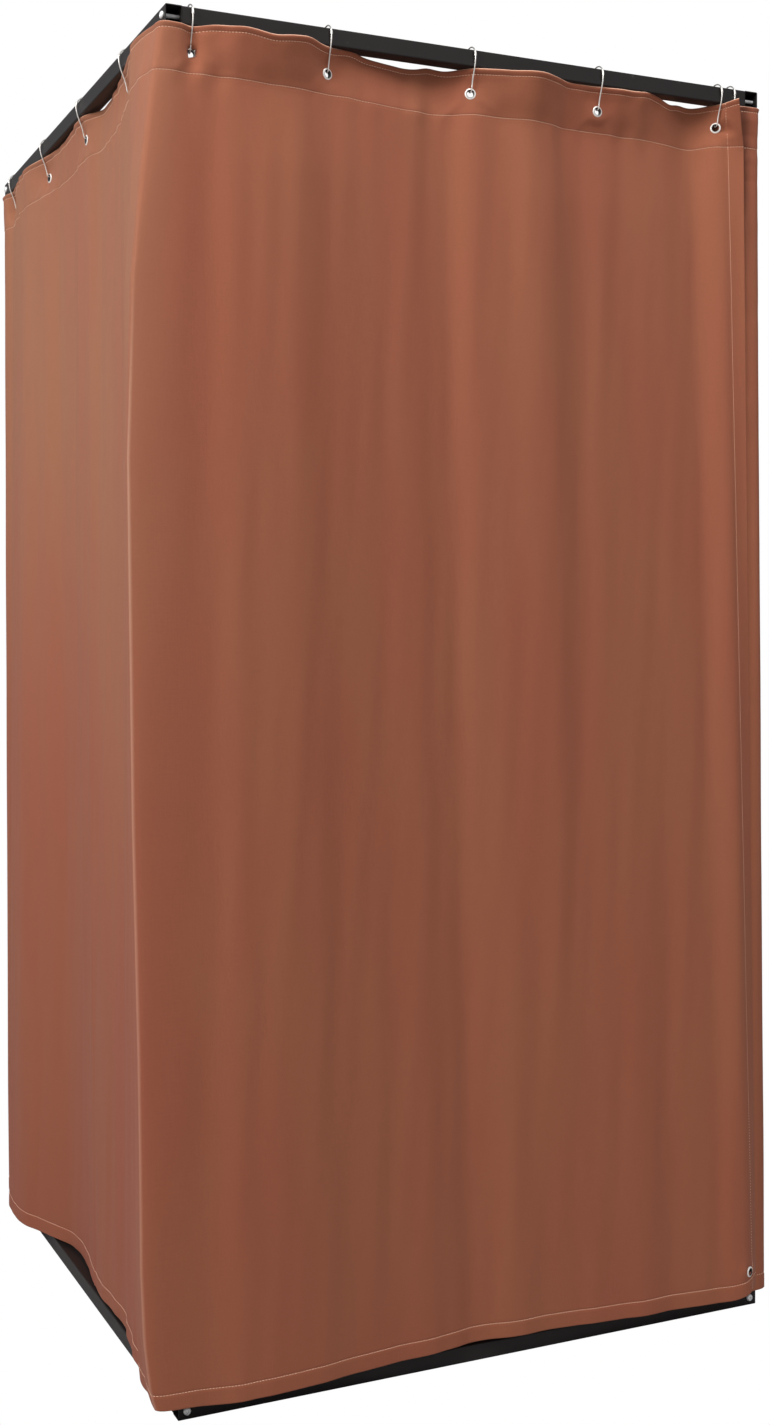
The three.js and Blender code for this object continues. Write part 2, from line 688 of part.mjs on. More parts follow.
for (const panel of panels) {
  let cloth = toSolid(clothPanel(panel.first, panel.last));
  for (const place of hookPlaces.filter((spot) => spot > panel.first && spot < panel.last)) {
    const { side, along } = stations[place];
    const hook = addPiece(`hook_${side}_${pieceNumber(place)}`, hookGeometry, brightWire);
    const seat = placeAt(side, along, -halfTube);
    hook.position.set(seat.x, seat.y, 0);
    hook.rotation.z = hookTurns[side] + Math.PI;
    const fixedApart = panel.loose || place === overlapPlace;
    if (fixedApart) {
      cloth = cutForEyelet(cloth, place, eyeletLevel, seatDiameter);
      const ring = seatOnSheet(eyeletRing(), place, eyeletLevel);
      addPiece(`eyelet_${side}_${pieceNumber(place)}`, ring, nickel);
    } else {
      cloth = cutForEyelet(cloth, place, eyeletLevel, (eyeletHoleDiameter + eyeletOuterDiameter) / 2);
      cloth = cloth.add(toSolid(seatOnSheet(eyeletRing(), place, eyeletLevel)));
    }
  }
  if (panel.name === 'front') {
    cloth = cutForEyelet(cloth, hemEyeletShare, hemEyeletLevel(), seatDiameter);
    addPiece('eyelet_hem_corner', seatOnSheet(eyeletRing(), hemEyeletShare, hemEyeletLevel()), nickel);
  }
  addPiece(`curtain_${panel.name}`, toGeometry(cloth), canvas);
}

export default cabin;
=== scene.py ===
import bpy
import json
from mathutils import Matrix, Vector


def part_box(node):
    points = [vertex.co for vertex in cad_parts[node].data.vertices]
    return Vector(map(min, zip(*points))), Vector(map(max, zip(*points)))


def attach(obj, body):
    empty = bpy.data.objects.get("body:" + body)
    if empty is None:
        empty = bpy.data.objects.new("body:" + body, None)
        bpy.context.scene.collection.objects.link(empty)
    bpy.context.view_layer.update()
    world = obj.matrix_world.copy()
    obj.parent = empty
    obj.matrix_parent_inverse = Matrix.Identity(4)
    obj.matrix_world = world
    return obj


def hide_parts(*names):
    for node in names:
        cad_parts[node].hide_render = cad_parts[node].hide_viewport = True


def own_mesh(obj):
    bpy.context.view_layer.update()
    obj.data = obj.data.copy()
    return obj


bl_info = {
    "name": "Portable fitting room",
    "version": (1, 0, 0),
    "blender": (4, 5, 0),
    "location": "View3D > Sidebar > Fitting room",
    "description": "Dresses the tube frame of a fitting room with its canvas, hooks, eyelets and bolts",
    "category": "Object",
}

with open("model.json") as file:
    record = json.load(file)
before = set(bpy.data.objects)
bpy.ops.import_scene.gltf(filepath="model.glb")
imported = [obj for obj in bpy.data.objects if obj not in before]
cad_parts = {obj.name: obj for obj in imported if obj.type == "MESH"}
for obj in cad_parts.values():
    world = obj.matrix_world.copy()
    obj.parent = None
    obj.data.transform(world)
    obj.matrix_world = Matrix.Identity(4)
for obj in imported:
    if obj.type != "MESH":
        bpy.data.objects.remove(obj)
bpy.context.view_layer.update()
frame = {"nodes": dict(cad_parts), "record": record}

import json
import math

import bmesh
import bpy
import numpy as np
from bpy.props import FloatProperty, FloatVectorProperty, IntProperty, PointerProperty
from mathutils import Matrix, Vector

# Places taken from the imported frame, in metres
RAIL_LOW, RAIL_HIGH = (np.array(corner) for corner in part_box("bottom_rail_front"))
HALF_WIDTH = RAIL_HIGH[0]
HALF_DEPTH = -RAIL_LOW[1]
TUBE = RAIL_HIGH[1] - RAIL_LOW[1]
FRAME_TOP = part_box("top_rail_front")[1][2]
CLOTH_LOW, CLOTH_HIGH = (np.array(corner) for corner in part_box("curtain_front"))
HEADER_TOP = CLOTH_HIGH[2]
CLOTH_DROP = HEADER_TOP - CLOTH_LOW[2]


def middle_of(node):
    """The middle of a node's box."""
    low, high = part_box(node)
    return (np.array(low) + np.array(high)) / 2


EYELET_DROP = HEADER_TOP - middle_of("eyelet_front_3")[2]
HOOK_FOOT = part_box("hook_front_3")[0][2]


class CanvasSettings(bpy.types.PropertyGroup):
    thickness: FloatProperty(
        name="Thickness", description="One layer of canvas", default=0.0012, min=0.0004, unit="LENGTH")
    header: FloatProperty(
        name="Header", description="Doubled band at the top, down to its seam", default=0.0663, unit="LENGTH")
    rolled_edge: FloatProperty(
        name="Rolled edge", description="Top edge down to its stitching", default=0.0085, unit="LENGTH")
    hem: FloatProperty(
        name="Hem", description="Height of the hem at the foot", default=0.024, unit="LENGTH")
    side_hem: FloatProperty(
        name="Side hem", description="Width of the hem down the free edges", default=0.0255, unit="LENGTH")
    thread: FloatProperty(
        name="Thread", description="Thickness of the sewing thread", default=0.0010, unit="LENGTH")
    stitch: FloatProperty(
        name="Stitch", description="Length of one stitch that shows", default=0.0037, unit="LENGTH")
    stitch_pitch: FloatProperty(
        name="Stitch pitch", description="From one stitch to the next", default=0.0046, unit="LENGTH")
    weave_pitch: FloatProperty(
        name="Weave pitch", description="From one yarn to the next but one", default=0.0011, unit="LENGTH")
    column_pitch: FloatProperty(
        name="Column pitch", description="Mesh spacing along the cloth", default=0.005, unit="LENGTH")
    row_pitch: FloatProperty(
        name="Row pitch", description="Mesh spacing down the cloth", default=0.0125, unit="LENGTH")
    colour: FloatVectorProperty(
        name="Canvas colour", description="Colour of the canvas", subtype="COLOR",
        size=3, min=0, max=1, default=(0.322, 0.107, 0.0550))
    warm_colour: FloatVectorProperty(
        name="Yarn tint", description="Redder shade that the dye takes in places", subtype="COLOR",
        size=3, min=0, max=1, default=(0.322, 0.098, 0.0525))
    thread_colour: FloatVectorProperty(
        name="Thread colour", description="Colour of the sewing thread", subtype="COLOR",
        size=3, min=0, max=1, default=(0.80, 0.50, 0.36))


class MetalSettings(bpy.types.PropertyGroup):
    wire: FloatProperty(
        name="Hook wire", description="Thickness of the hook wire", default=0.0020, unit="LENGTH")
    clasp: FloatProperty(
        name="Clasp", description="Thickness of the hook's clasp sleeve", default=0.0034, unit="LENGTH")
    eyelet_outer: FloatProperty(
        name="Eyelet", description="Outside of an eyelet", default=0.017, unit="LENGTH")
    eyelet_bore: FloatProperty(
        name="Eyelet bore", description="Hole of an eyelet", default=0.0104, unit="LENGTH")
    bolt_head: FloatProperty(
        name="Bolt head", description="Width of a frame bolt's head", default=0.0115, unit="LENGTH")
    bolt_rise: FloatProperty(
        name="Bolt rise", description="Height of a frame bolt's head", default=0.0036, unit="LENGTH")
    wire_sides: IntProperty(
        name="Wire sides", description="Facets round the hook wire", default=12, min=6, max=24)
    coat_colour: FloatVectorProperty(
        name="Frame coat", description="Colour of the frame's powder coat", subtype="COLOR",
        size=3, min=0, max=1, default=(0.015, 0.0125, 0.012))


class StageSettings(bpy.types.PropertyGroup):
    floor_colour: FloatVectorProperty(
        name="Floor colour", description="Colour of the studio floor", subtype="COLOR",
        size=3, min=0, max=1, default=(0.46, 0.46, 0.46))
    key_power: FloatProperty(
        name="Key light", description="Power of the large light at the left", default=150.0, unit="POWER")
    top_power: FloatProperty(
        name="Top light", description="Power of the light overhead", default=68.0, unit="POWER")
    fill_power: FloatProperty(
        name="Fill light", description="Power of the light at the right", default=22.0, unit="POWER")
    side_power: FloatProperty(
        name="Side light", description="Power of the light at the left, towards the back",
        default=36.0, unit="POWER")
    sky: FloatProperty(
        name="Surround", description="Strength of the pale surround", default=0.38, min=0)


# Node helpers

# A mix node's colour sockets go by number, because its number sockets have the same names
MIX_FIRST, MIX_SECOND, MIX_RESULT = 6, 7, 2
WHITE, BLACK = (1.0, 1.0, 1.0, 1.0), (0.0, 0.0, 0.0, 1.0)


class NodePen:
    """Adds nodes to a tree: a type, its settings, then the values or links of its sockets."""

    def __init__(self, tree):
        self.tree = tree

    def add(self, kind, settings=None, sockets=None):
        node = self.tree.nodes.new(kind)
        for name, value in (settings or {}).items():
            setattr(node, name, value)
        for name, value in (sockets or {}).items():
            self.feed(node.inputs[name], value)
        return node

    def feed(self, entry, value):
        if isinstance(value, Wave):
            self.tree.links.new(value.socket, entry)
        elif isinstance(value, bpy.types.NodeSocket):
            self.tree.links.new(value, entry)
        else:
            entry.default_value = value

    def wave(self, kind, output, settings=None, sockets=None):
        """Adds a node and gives one of its outputs to reckon with."""
        return Wave(self, self.add(kind, settings, sockets).outputs[output])

    def blend(self, factor, first, second, kind="MIX"):
        """The first colour taken towards the second, by the factor."""
        node = self.add("ShaderNodeMix", {"data_type": "RGBA", "blend_type": kind})
        self.feed(node.inputs["Factor"], factor)
        self.feed(node.inputs[MIX_FIRST], first)
        self.feed(node.inputs[MIX_SECOND], second)
        return Wave(self, node.outputs[MIX_RESULT])

    def noise(self, place, scale, detail, **others):
        """A soft random pattern between 0 and 1."""
        return self.wave("ShaderNodeTexNoise", 0, None, {
            "Vector": place, "Scale": scale, "Detail": detail, **others})

    def bump(self, surface, height, strength, distance):
        """Shades a surface as if it stood out by the height."""
        raised = self.wave("ShaderNodeBump", 0, None, {
            "Height": height, "Strength": strength, "Distance": distance})
        self.feed(surface.inputs["Normal"], raised)


class Wave:
    """A shader value that can be reckoned with like a number."""

    def __init__(self, pen, socket):
        self.pen = pen
        self.socket = socket

    def reckon(self, operation, *values):
        node = self.pen.add("ShaderNodeMath", {"operation": operation})
        for entry, value in zip(node.inputs, values):
            self.pen.feed(entry, value)
        return Wave(self.pen, node.outputs[0])

    def __add__(self, other):
        return self.reckon("ADD", self, other)

    __radd__ = __add__

    def __mul__(self, other):
        return self.reckon("MULTIPLY", self, other)

    __rmul__ = __mul__

    def __sub__(self, other):
        return self.reckon("SUBTRACT", self, other)

    def __rsub__(self, other):
        return self.reckon("SUBTRACT", other, self)

    def sine(self):
        return self.reckon("SINE", self)

    def steep(self, low, high):
        """0 up to low, 1 from high on and a smooth step between."""
        node = self.pen.add("ShaderNodeMapRange", {"interpolation_type": "SMOOTHSTEP"}, {
            "Value": self, "From Min": low, "From Max": high, "To Min": 0.0, "To Max": 1.0})
        return Wave(self.pen, node.outputs[0])


def new_material(name):
    """A material with its pen, its surface node and its output node."""
    material = bpy.data.materials.new(name)
    material.use_nodes = True
    tree = material.node_tree
    tree.nodes.clear()
    pen = NodePen(tree)
    surface = pen.add("ShaderNodeBsdfPrincipled")
    output = pen.add("ShaderNodeOutputMaterial", None, {"Surface": surface.outputs[0]})
    return material, pen, surface, output


def rgba(colour, scale=1.0):
    """A colour made lighter or darker by the scale, with its alpha."""
    return (*(min(1.0, part * scale) for part in colour), 1.0)


# What the colour of the left side is multiplied by: a painted sheen at its top and painted shade at its foot
PAINTED_TOP_SHEEN, FOOT_SHADE = (1.06, 1.29, 1.33, 1.0), (0.93, 0.86, 0.88, 1.0)
# How far from its line the painted highlight on the crease fades, and the height over which the painted shade
# on the hooks sets in
CREASE_HIGHLIGHT_REACH, PAINTED_SHADE_REACH = 0.004, 0.014


def canvas_material(settings):
    """Dyed plain-weave canvas: yarns that follow the cloth, slubs and an uneven dye."""
    material, pen, surface, _ = new_material("rust canvas")
    cloth = pen.wave("ShaderNodeUVMap", 0, {"uv_map": "cloth"})
    split = pen.add("ShaderNodeSeparateXYZ", None, {"Vector": cloth})
    along, down = Wave(pen, split.outputs[0]), Wave(pen, split.outputs[1])
    turn = 2 * math.pi / settings.weave_pitch
    weave = (along * turn).sine() * (down * turn).sine()

    def streaks(scale, detail):
        placed = pen.wave("ShaderNodeMapping", 0, None, {"Vector": cloth, "Scale": scale})
        return pen.noise(placed, 1.0, detail, Roughness=0.55)

    slubs_down = streaks((900.0, 26.0, 1.0), 2.0)
    slubs_along = streaks((26.0, 900.0, 1.0), 2.0)
    dye = streaks((5.5, 1.6, 1.0), 3.0)
    specks = streaks((240.0, 240.0, 1.0), 2.0)
    shade = 0.86 + 0.1 * slubs_down + 0.1 * slubs_along + 0.08 * specks
    dyed = pen.blend(dye.steep(0.35, 0.65), rgba(settings.colour), rgba(settings.warm_colour))
    dark = pen.blend(0.82, dyed, BLACK)
    tint = pen.blend(shade.steep(0.2, 1.25), dark, dyed)
    # Painted shadow from the free edge darkens the end of the sheet behind it, most near the top
    painted_edge_shadow = along.steep(sheet.length - 0.070, sheet.length - 0.052) * (1.0 - 0.8 * down.steep(0.12, 0.36))
    tint = pen.blend(0.55 * painted_edge_shadow, tint, BLACK)
    # Painted light makes that end paler lower down
    end = along.steep(sheet.length - 0.085, sheet.length - 0.07)
    tint = pen.blend(0.8 * end * down.steep(0.1, 0.9), tint, rgba(settings.colour, 1.22))
    # A painted highlight lightens the crease down the front left corner
    rubbed = (along.steep(sheet.wing_s - CREASE_HIGHLIGHT_REACH, sheet.wing_s)
              - along.steep(sheet.wing_s, sheet.wing_s + CREASE_HIGHLIGHT_REACH))
    tint = pen.blend(0.2 * rubbed * down.steep(0.25, 0.7), tint, rgba(settings.thread_colour))
    # Painted sheen lightens the top of the left side, and painted shade darkens its foot
    side = (along.steep(sheet.wing_s - 0.06, sheet.wing_s + 0.02)
            - along.steep(sheet.back_s - 0.05, sheet.back_s + 0.05))
    tint = pen.blend(side * (1.0 - down.steep(0.3, 1.25)), tint, PAINTED_TOP_SHEEN, "MULTIPLY")
    tint = pen.blend(side * down.steep(0.8, 1.9), tint, FOOT_SHADE, "MULTIPLY")
    # The top edge is worn pale, with a painted highlight where its fold meets the light from above
    worn = (1.0 - down.steep(0.0004, 0.0016)) * (0.45 + 0.5 * specks)
    tint = pen.blend(worn, tint, rgba(settings.thread_colour))
    pen.feed(surface.inputs["Base Color"], tint)
    pen.feed(surface.inputs["Roughness"], 0.82 + 0.12 * slubs_along)
    pen.bump(surface, 0.5 * weave + 1.4 * slubs_down + 1.4 * slubs_along + 0.8 * specks, 0.35, 0.0003)
    surface.inputs["Specular IOR Level"].default_value = 0.2
    surface.inputs["Sheen Weight"].default_value = 0.05
    surface.inputs["Sheen Roughness"].default_value = 0.5
    return material


def thread_material(settings):
    """Twisted cotton thread, paler than the canvas."""
    material, pen, surface, _ = new_material("pale thread")
    fuzz = pen.noise(pen.wave("ShaderNodeTexCoord", "Object"), 1400.0, 2.0)
    low = rgba(settings.thread_colour, 0.8)
    pen.feed(surface.inputs["Base Color"], pen.blend(fuzz, low, rgba(settings.thread_colour, 1.15)))
    pen.feed(surface.inputs["Roughness"], 0.65 + 0.2 * fuzz)
    return material


def coat_material(settings):
    """Black powder coat on steel tube: orange peel, faint clouding and small rubbed spots."""
    material, pen, surface, _ = new_material("black powder coat")
    place = pen.wave("ShaderNodeTexCoord", "Object")
    peel, cloud, rub = pen.noise(place, 900.0, 1.0), pen.noise(place, 14.0, 3.0), pen.noise(place, 70.0, 4.0)
    worn = rub.steep(0.66, 0.74)
    base = pen.blend(cloud, rgba(settings.coat_colour, 0.85), rgba(settings.coat_colour, 1.2))
    pen.feed(surface.inputs["Base Color"], pen.blend(0.25 * worn, base, (0.09, 0.085, 0.08, 1.0)))
    pen.feed(surface.inputs["Roughness"], 0.38 + 0.1 * cloud + 0.12 * worn)
    pen.bump(surface, peel, 0.18, 0.0002)
    surface.inputs["Specular IOR Level"].default_value = 0.18
    return material


def plated_material(name, colour, roughness, scale, metallic, painted_shade_from=None):
    """Bright plated metal with fine scuffs and faint clouding, with painted shade above a height where one is
    given.
    """
    material, pen, surface, _ = new_material(name)
    place = pen.wave("ShaderNodeTexCoord", "Object")
    cloud, scuff = pen.noise(place, scale, 3.0), pen.noise(place, scale * 9, 2.0)
    clean = pen.blend(cloud, rgba(colour, 0.86), rgba(colour, 1.08))
    if painted_shade_from:
        # Painted shade: the colour darkens above the given height
        high = Wave(pen, pen.add("ShaderNodeSeparateXYZ", None, {"Vector": place}).outputs[2])
        clean = pen.blend(high.steep(painted_shade_from, painted_shade_from + PAINTED_SHADE_REACH), clean, rgba(colour, 0.4))
    # The painted shadow in an eyelet's bore, from its pattern's attribute, darkens the colour
    hidden = pen.wave("ShaderNodeAttribute", 2, {"attribute_name": "hidden"})
    pen.feed(surface.inputs["Base Color"], pen.blend(hidden, clean, rgba(colour, 0.07)))
    pen.feed(surface.inputs["Roughness"], roughness + 0.12 * cloud + 0.1 * scuff + 0.3 * hidden)
    pen.bump(surface, scuff, 0.08, 0.0001)
    surface.inputs["Metallic"].default_value = metallic
    return material


# The hung sheet: plan outlines at five heights, told at stations in walking order round the frame

# Each side's first corner, its run and the way out
SIDES = {
    "front": ((HALF_WIDTH, -HALF_DEPTH), (-2 * HALF_WIDTH, 0), (0, -1)),
    "left": ((-HALF_WIDTH, -HALF_DEPTH), (0, 2 * HALF_DEPTH), (-1, 0)),
    "back": ((-HALF_WIDTH, HALF_DEPTH), (2 * HALF_WIDTH, 0), (0, 1)),
    "right": ((HALF_WIDTH, HALF_DEPTH), (0, -2 * HALF_DEPTH), (1, 0)),
}
# Places are told as shares of a side's run, and folds as shares of this depth, outward
FOLD_DEPTH = 0.040
# A corner station stands out by this share of what its two sides say
CORNER_PULL_SHARE = 0.75
# The top edge sags by a share of how far it swings inward, beyond what hangs free
DROOP_SHARE, DROOP_FREE = 0.2, 0.010
# How far out the three upper levels are at every hook
HOOK_TOP_SHARES = (-0.06, -0.3, -0.325)
# Where the moving front panel begins, and how far round that the ripples are held off
SPLIT_SHARE, SPLIT_REACH = 0.949, 0.008
FOOT_SPREAD = 1.0291
# The levels: the top edge, a neck part of the way down to the eyelets, the eyelets, the header
# seam and the foot
LEVELS, SEAM_LEVEL = 5, 3
NECK_SHARE, SEAM_BELOW_EYELET = 0.45, 0.0305
# How the bends at each level are rounded: steps down the cloth and their parts
BEND_STEPS = ((-0.009, 0.15), (-0.0045, 0.22), (0, 0.26), (0.0045, 0.22), (0.009, 0.15))


def clipped(value):
    return np.clip(value, 0, 1)


def bell(away, width):
    """1 in the middle, falling off smoothly to both sides."""
    return np.exp(-(away / width) ** 2)


def eased(share):
    """A share from 0 to 1 with a smooth start and end."""
    return share * share * (3 - 2 * share)


def free_shares(top, seam, hem):
    """The values at all five levels, from those at the top edge, the seam and the hem."""
    eyelet = (top + seam) / 2
    return top, (top + eyelet) / 2, eyelet, seam, hem


def spread(along):
    """Where a place along the front ends up at the foot, which the canvas spreads sideways to."""
    return SPLIT_SHARE - (SPLIT_SHARE - along) * FOOT_SPREAD


def fold(side, along, top, seam, hem, top_along=None, hem_along=None):
    """A station between hooks."""
    alongs = free_shares(top_along or along, along, hem_along or along)
    return {"side": side, "alongs": alongs, "shares": free_shares(top, seam, hem), "hook": False}


def hang(side, along, seam, hem, hem_along=None):
    """A station at a hook, which holds the levels above the seam."""
    alongs = (along, along, along, along, hem_along or along)
    return {"side": side, "alongs": alongs, "shares": (*HOOK_TOP_SHARES, seam, hem), "hook": True}


def front(along, *shares):
    return fold("front", along, *shares, hem_along=spread(along))


def front_hang(along, *shares):
    return hang("front", along, *shares, hem_along=spread(along))


def corner(before, after):
    """A station at a corner of the frame, told by the sides before and after it."""
    return {"before": (before[0], free_shares(*before[1:])), "after": (after[0], free_shares(*after[1:])),
            "side": None, "hook": False}


STATIONS = [
    fold("front", 0.031, 0.79, 0.15, 0.475, 0.06, spread(0.072) - 0.032),
    fold("front", 0.0505, 0.25, -0.1, 0.875, 0.066, spread(0.072) - 0.0155),
    front_hang(0.072, -0.2, 1), front(0.11, -0.85, -0.85, 0.79), front(0.17, -0.35, -0.7, 0.77),
    front(0.23, 0.02, -0.67, 0.67), front_hang(0.295, -0.6, 0.55), front(0.35, -0.1, -0.55, 0.44),
    front(0.41, 0.6, -0.1, 0.22), front(0.46, 0.3, -0.25, 0.18), front_hang(0.518, -0.3, 0.06),
    front(0.56, -0.8, -0.62, 0.13), front(0.615, -0.85, -0.45, 0.35), front(0.68, -0.6, -0.32, 0.48),
    front_hang(0.752, -0.3, 0.64), front(0.805, 0.62, -0.1, 0.82), front(0.89, 0.6, 0.09, 1.02),
    front(SPLIT_SHARE, 0.06, 0.06, 0.98), hang("front", 0.961, 0.055, 0.96),
    fold("front", 0.975, 0.13, 0.085, 0.95), fold("front", 0.99, 0.15, 0.08, 0.95),
    fold("front", 1.004, 0.15, 0.07, 0.96, hem_along=1.032),
    corner(("front", 0.15, 0.08, 1.15), ("left", 0.4, 0.6, 1.5)),
    fold("left", 0.002, 0.4, 0.6, 1.12, hem_along=-0.024),
    fold("left", 0.012, 0.38, 0.6, 1.03), fold("left", 0.05, 0.45, 0.65, 0.86),
    fold("left", 0.085, 0.52, 0.6, 0.70), fold("left", 0.13, 0.25, 0.35, 0.52),
    hang("left", 0.21, -0.05, 0.2), fold("left", 0.3, -0.45, -0.35, -0.1),
    fold("left", 0.39, -0.62, -0.5, -0.03), hang("left", 0.455, -0.3, -0.1),
    fold("left", 0.55, -0.28, -0.4, -0.48), fold("left", 0.63, -0.33, -0.35, -0.42),
    hang("left", 0.7, -0.15, 0), fold("left", 0.77, 0.24, 0.12, 0.85),
    fold("left", 0.83, 0.18, 0.18, 1.05), fold("left", 0.9, 0.0, 0.03, 0.9),
    hang("left", 0.945, -0.05, 0.66), fold("left", 0.971, 0.07, 0.06, 0.55),
    fold("left", 0.988, 0.1, 0.06, 0.48),
    corner(("left", 0.1, 0.07, 0.45), ("back", 0.1, 0.07, 0.3)),
    fold("back", 0.012, 0.1, 0.08, 0.35), fold("back", 0.08, 0.35, 0.2, 0.7),
    hang("back", 0.179, -0.2, 0.5), fold("back", 0.25, -0.5, -0.5, 0.1),
    fold("back", 0.33, -0.6, -0.5, -0.05), hang("back", 0.412, -0.25, 0.1),
    fold("back", 0.49, 0.5, 0.1, 0.5), fold("back", 0.57, 0.55, 0.05, 0.85),
    hang("back", 0.646, -0.25, 0.65), fold("back", 0.73, -0.65, -0.55, 0.25),
    fold("back", 0.8, -0.5, -0.5, 0.3), hang("back", 0.88, -0.2, 0.7),
    fold("back", 0.94, 0.4, 0.2, 0.95), fold("back", 0.988, 0.15, 0.15, 0.6),
    corner(("back", 0.15, 0.15, 0.6), ("right", 0.15, 0.2, 0.7)),
    fold("right", 0.012, 0.15, 0.2, 0.7), fold("right", 0.06, 0.3, 0.25, 0.9),
    hang("right", 0.114, -0.15, 0.85), fold("right", 0.18, -0.4, -0.35, 0.4),
    fold("right", 0.27, -0.55, -0.45, 0.05), hang("right", 0.347, -0.2, 0.15),
    fold("right", 0.43, 0.5, 0.15, 0.75), fold("right", 0.51, 0.45, 0.1, 1.1),
    hang("right", 0.581, -0.25, 0.75), fold("right", 0.67, -0.6, -0.5, 0.2),
    fold("right", 0.74, -0.5, -0.45, 0.15), hang("right", 0.814, -0.15, 0.45),
    fold("right", 0.9, 0.3, 0.2, 0.7), fold("right", 0.96, 0.12, 0.12, 0.62),
    fold("right", 0.988, 0.05, 0.07, 0.57),
    corner(("right", 0.06, 0.06, 0.6), ("front", 0.08, 0.08, 0.1)),
    fold("front", 0.012, 0.08, 0.07, 0.08), fold("front", 0.029, 0.07, 0.06, 0.06),
    hang("front", 0.047, -0.3, -0.05), fold("front", 0.057, -0.4, -0.55, -0.2),
    fold("front", 0.066, -0.62, -0.85, -0.35),
]
SPLIT_PLACE = next(place for place, station in enumerate(STATIONS)
                   if station["side"] == "front" and station["alongs"][SEAM_LEVEL] == SPLIT_SHARE)


def corner_to(side):
    """The corner station at the start of a side."""
    return next(place for place, station in enumerate(STATIONS)
                if station["side"] is None and station["after"][0] == side)


PANELS = {
    "front": (0, SPLIT_PLACE),
    "left": (SPLIT_PLACE, corner_to("back") + 2),
    "back": (corner_to("back") + 2, corner_to("right") + 2),
    "right": (corner_to("right") + 2, len(STATIONS) - 1),
}


# Broad soft folds: place along the sheet, half width, and how far out at the seam and at the foot
SWELLS = (
    (0.000, 0.050, -0.0012, -0.0018), (0.060, 0.025, 0.0016, 0.0018), (0.160, 0.045, 0.0024, -0.0036),
    (0.365, 0.060, 0.0050, 0.0026), (0.455, 0.045, -0.0010, 0.0054), (0.559, 0.020, 0.0031, 0.0022),
    (0.785, 0.070, 0.0110, 0.0010), (0.846, 0.022, 0.0028, 0.0008), (0.945, 0.028, 0.0008, -0.0016),
    (0.030, 0.040, -0.0004, 0.0016), (0.098, 0.040, 0.0052, 0.0046), (0.170, 0.050, 0.0023, 0.0021),
    (0.240, 0.050, 0.0038, 0.0027), (0.310, 0.050, 0.0036, 0.0030), (0.380, 0.050, 0.0017, 0.0030),
    (0.450, 0.050, 0.0009, 0.0030), (0.520, 0.050, 0.0005, 0.0032),
)
# Where the top edge rides up or down: place along the sheet, half width and height
LIFTS = (
    (0.003, 0.014, 0.0008), (0.105, 0.020, 0.0018), (0.140, 0.018, -0.0052), (0.180, 0.018, 0.0022),
    (0.565, 0.018, 0.0062), (0.703, 0.020, 0.0042), (0.781, 0.016, 0.0020),
    (0.835, 0.026, -0.0042), (0.878, 0.024, 0.0014), (0.915, 0.016, 0.0024),
)
# The same for the foot, counted from the far end where the place is negative
FOOT_LIFTS = ((0.012, 0.045, 0.0115), (0.420, 0.200, 0.0034), (-0.075, 0.080, -0.0062))
LIFT_REACH = 0.045
CORNER_FOOT_LIFT, CORNER_FOOT_WIDTH = 0.0085, 0.045
# Creases across the hidden end of the sheet: distance from the top edge, half width and depth
CROSS_CREASES = (
    (0.022, 0.006, 0.0012), (0.047, 0.007, -0.0014), (0.083, 0.008, 0.0016), (0.118, 0.007, -0.0012),
    (0.190, 0.012, 0.0014), (0.330, 0.016, -0.0015), (0.480, 0.014, 0.0016), (0.530, 0.012, -0.0013),
    (0.700, 0.016, 0.0012), (0.960, 0.018, -0.0014), (1.250, 0.020, 0.0014), (1.600, 0.018, -0.0012),
)
PUCKER_DROP = 0.14
# The canvas stands off the front left corner as a stiff wing: drop from the top edge and reach
WING = ((0.0, -0.0055), (0.07, -0.004), (0.2, 0.013), (0.35, 0.028), (0.6, 0.036), (1.1, 0.030),
        (1.42, 0.0225), (1.58, 0.0205), (1.72, 0.0195), (1.82, 0.0150), (1.89, 0.0070), (1.924, -0.001))
# How far round the corner it reaches, how much of it leans back and how its fading bends
WING_SIDE, WING_LEAN, WING_CURVE = 0.170, 0.10, 1.3
# Small waves that every hung canvas has: how many and how high, and the reach that gives their direction
SOFT_WAVES, SOFT_RISE = 9, 0.00055
TINY_WAVES, TINY_RISE = 7, 0.00012
COURSE_REACH = 0.004
# Where an eyelet flattens the cloth: wholly up to its grip, then less up to its hold
EYELET_GRIP, EYELET_HOLD = 0.0095, 0.024
# The first front eyelet sits beside the post: its smaller hold, and how much further out it is
POST_HOLD, POST_CLEARANCE = 0.0135, 0.0022


def plan_point(place, level):
    station = STATIONS[place]
    if station["side"]:
        start, along, out = (np.array(part) for part in SIDES[station["side"]])
        return start + along * station["alongs"][level] + out * station["shares"][level] * FOLD_DEPTH
    (before, before_shares), (after, after_shares) = station["before"], station["after"]
    outs = np.array(SIDES[before][2]) * before_shares[level] + np.array(SIDES[after][2]) * after_shares[level]
    return np.array(SIDES[after][0]) + CORNER_PULL_SHARE * FOLD_DEPTH * outs


def through_points(points, places):
    """A smooth line through the points, at places counted in points."""
    last = len(points) - 1
    near = np.clip(places.astype(int), 0, last - 1)
    share = (places - near)[:, None]
    before, here = points[np.maximum(near - 1, 0)], points[near]
    ahead, beyond = points[near + 1], points[np.minimum(near + 2, last)]
    lean, next_lean = (ahead - before) / 2, (beyond - here) / 2
    return ((2 * here - 2 * ahead + lean + next_lean) * share ** 3
            + (-3 * here + 3 * ahead - 2 * lean - next_lean) * share ** 2 + lean * share + here)


def soften(rows, reach):
    """Averages a table along its length, with both ends held."""
    taps = np.arange(-3 * reach, 3 * reach + 1)
    weights = np.exp(-0.5 * (taps / reach) ** 2)
    weights /= weights.sum()
    pad = 3 * reach
    head = 2 * rows[0] - rows[pad:0:-1]
    tail = 2 * rows[-1] - rows[-2:-pad - 2:-1]
    long = np.concatenate([head, rows, tail])
    return np.stack([np.convolve(long[:, axis], weights, "valid") for axis in range(rows.shape[1])], axis=1)


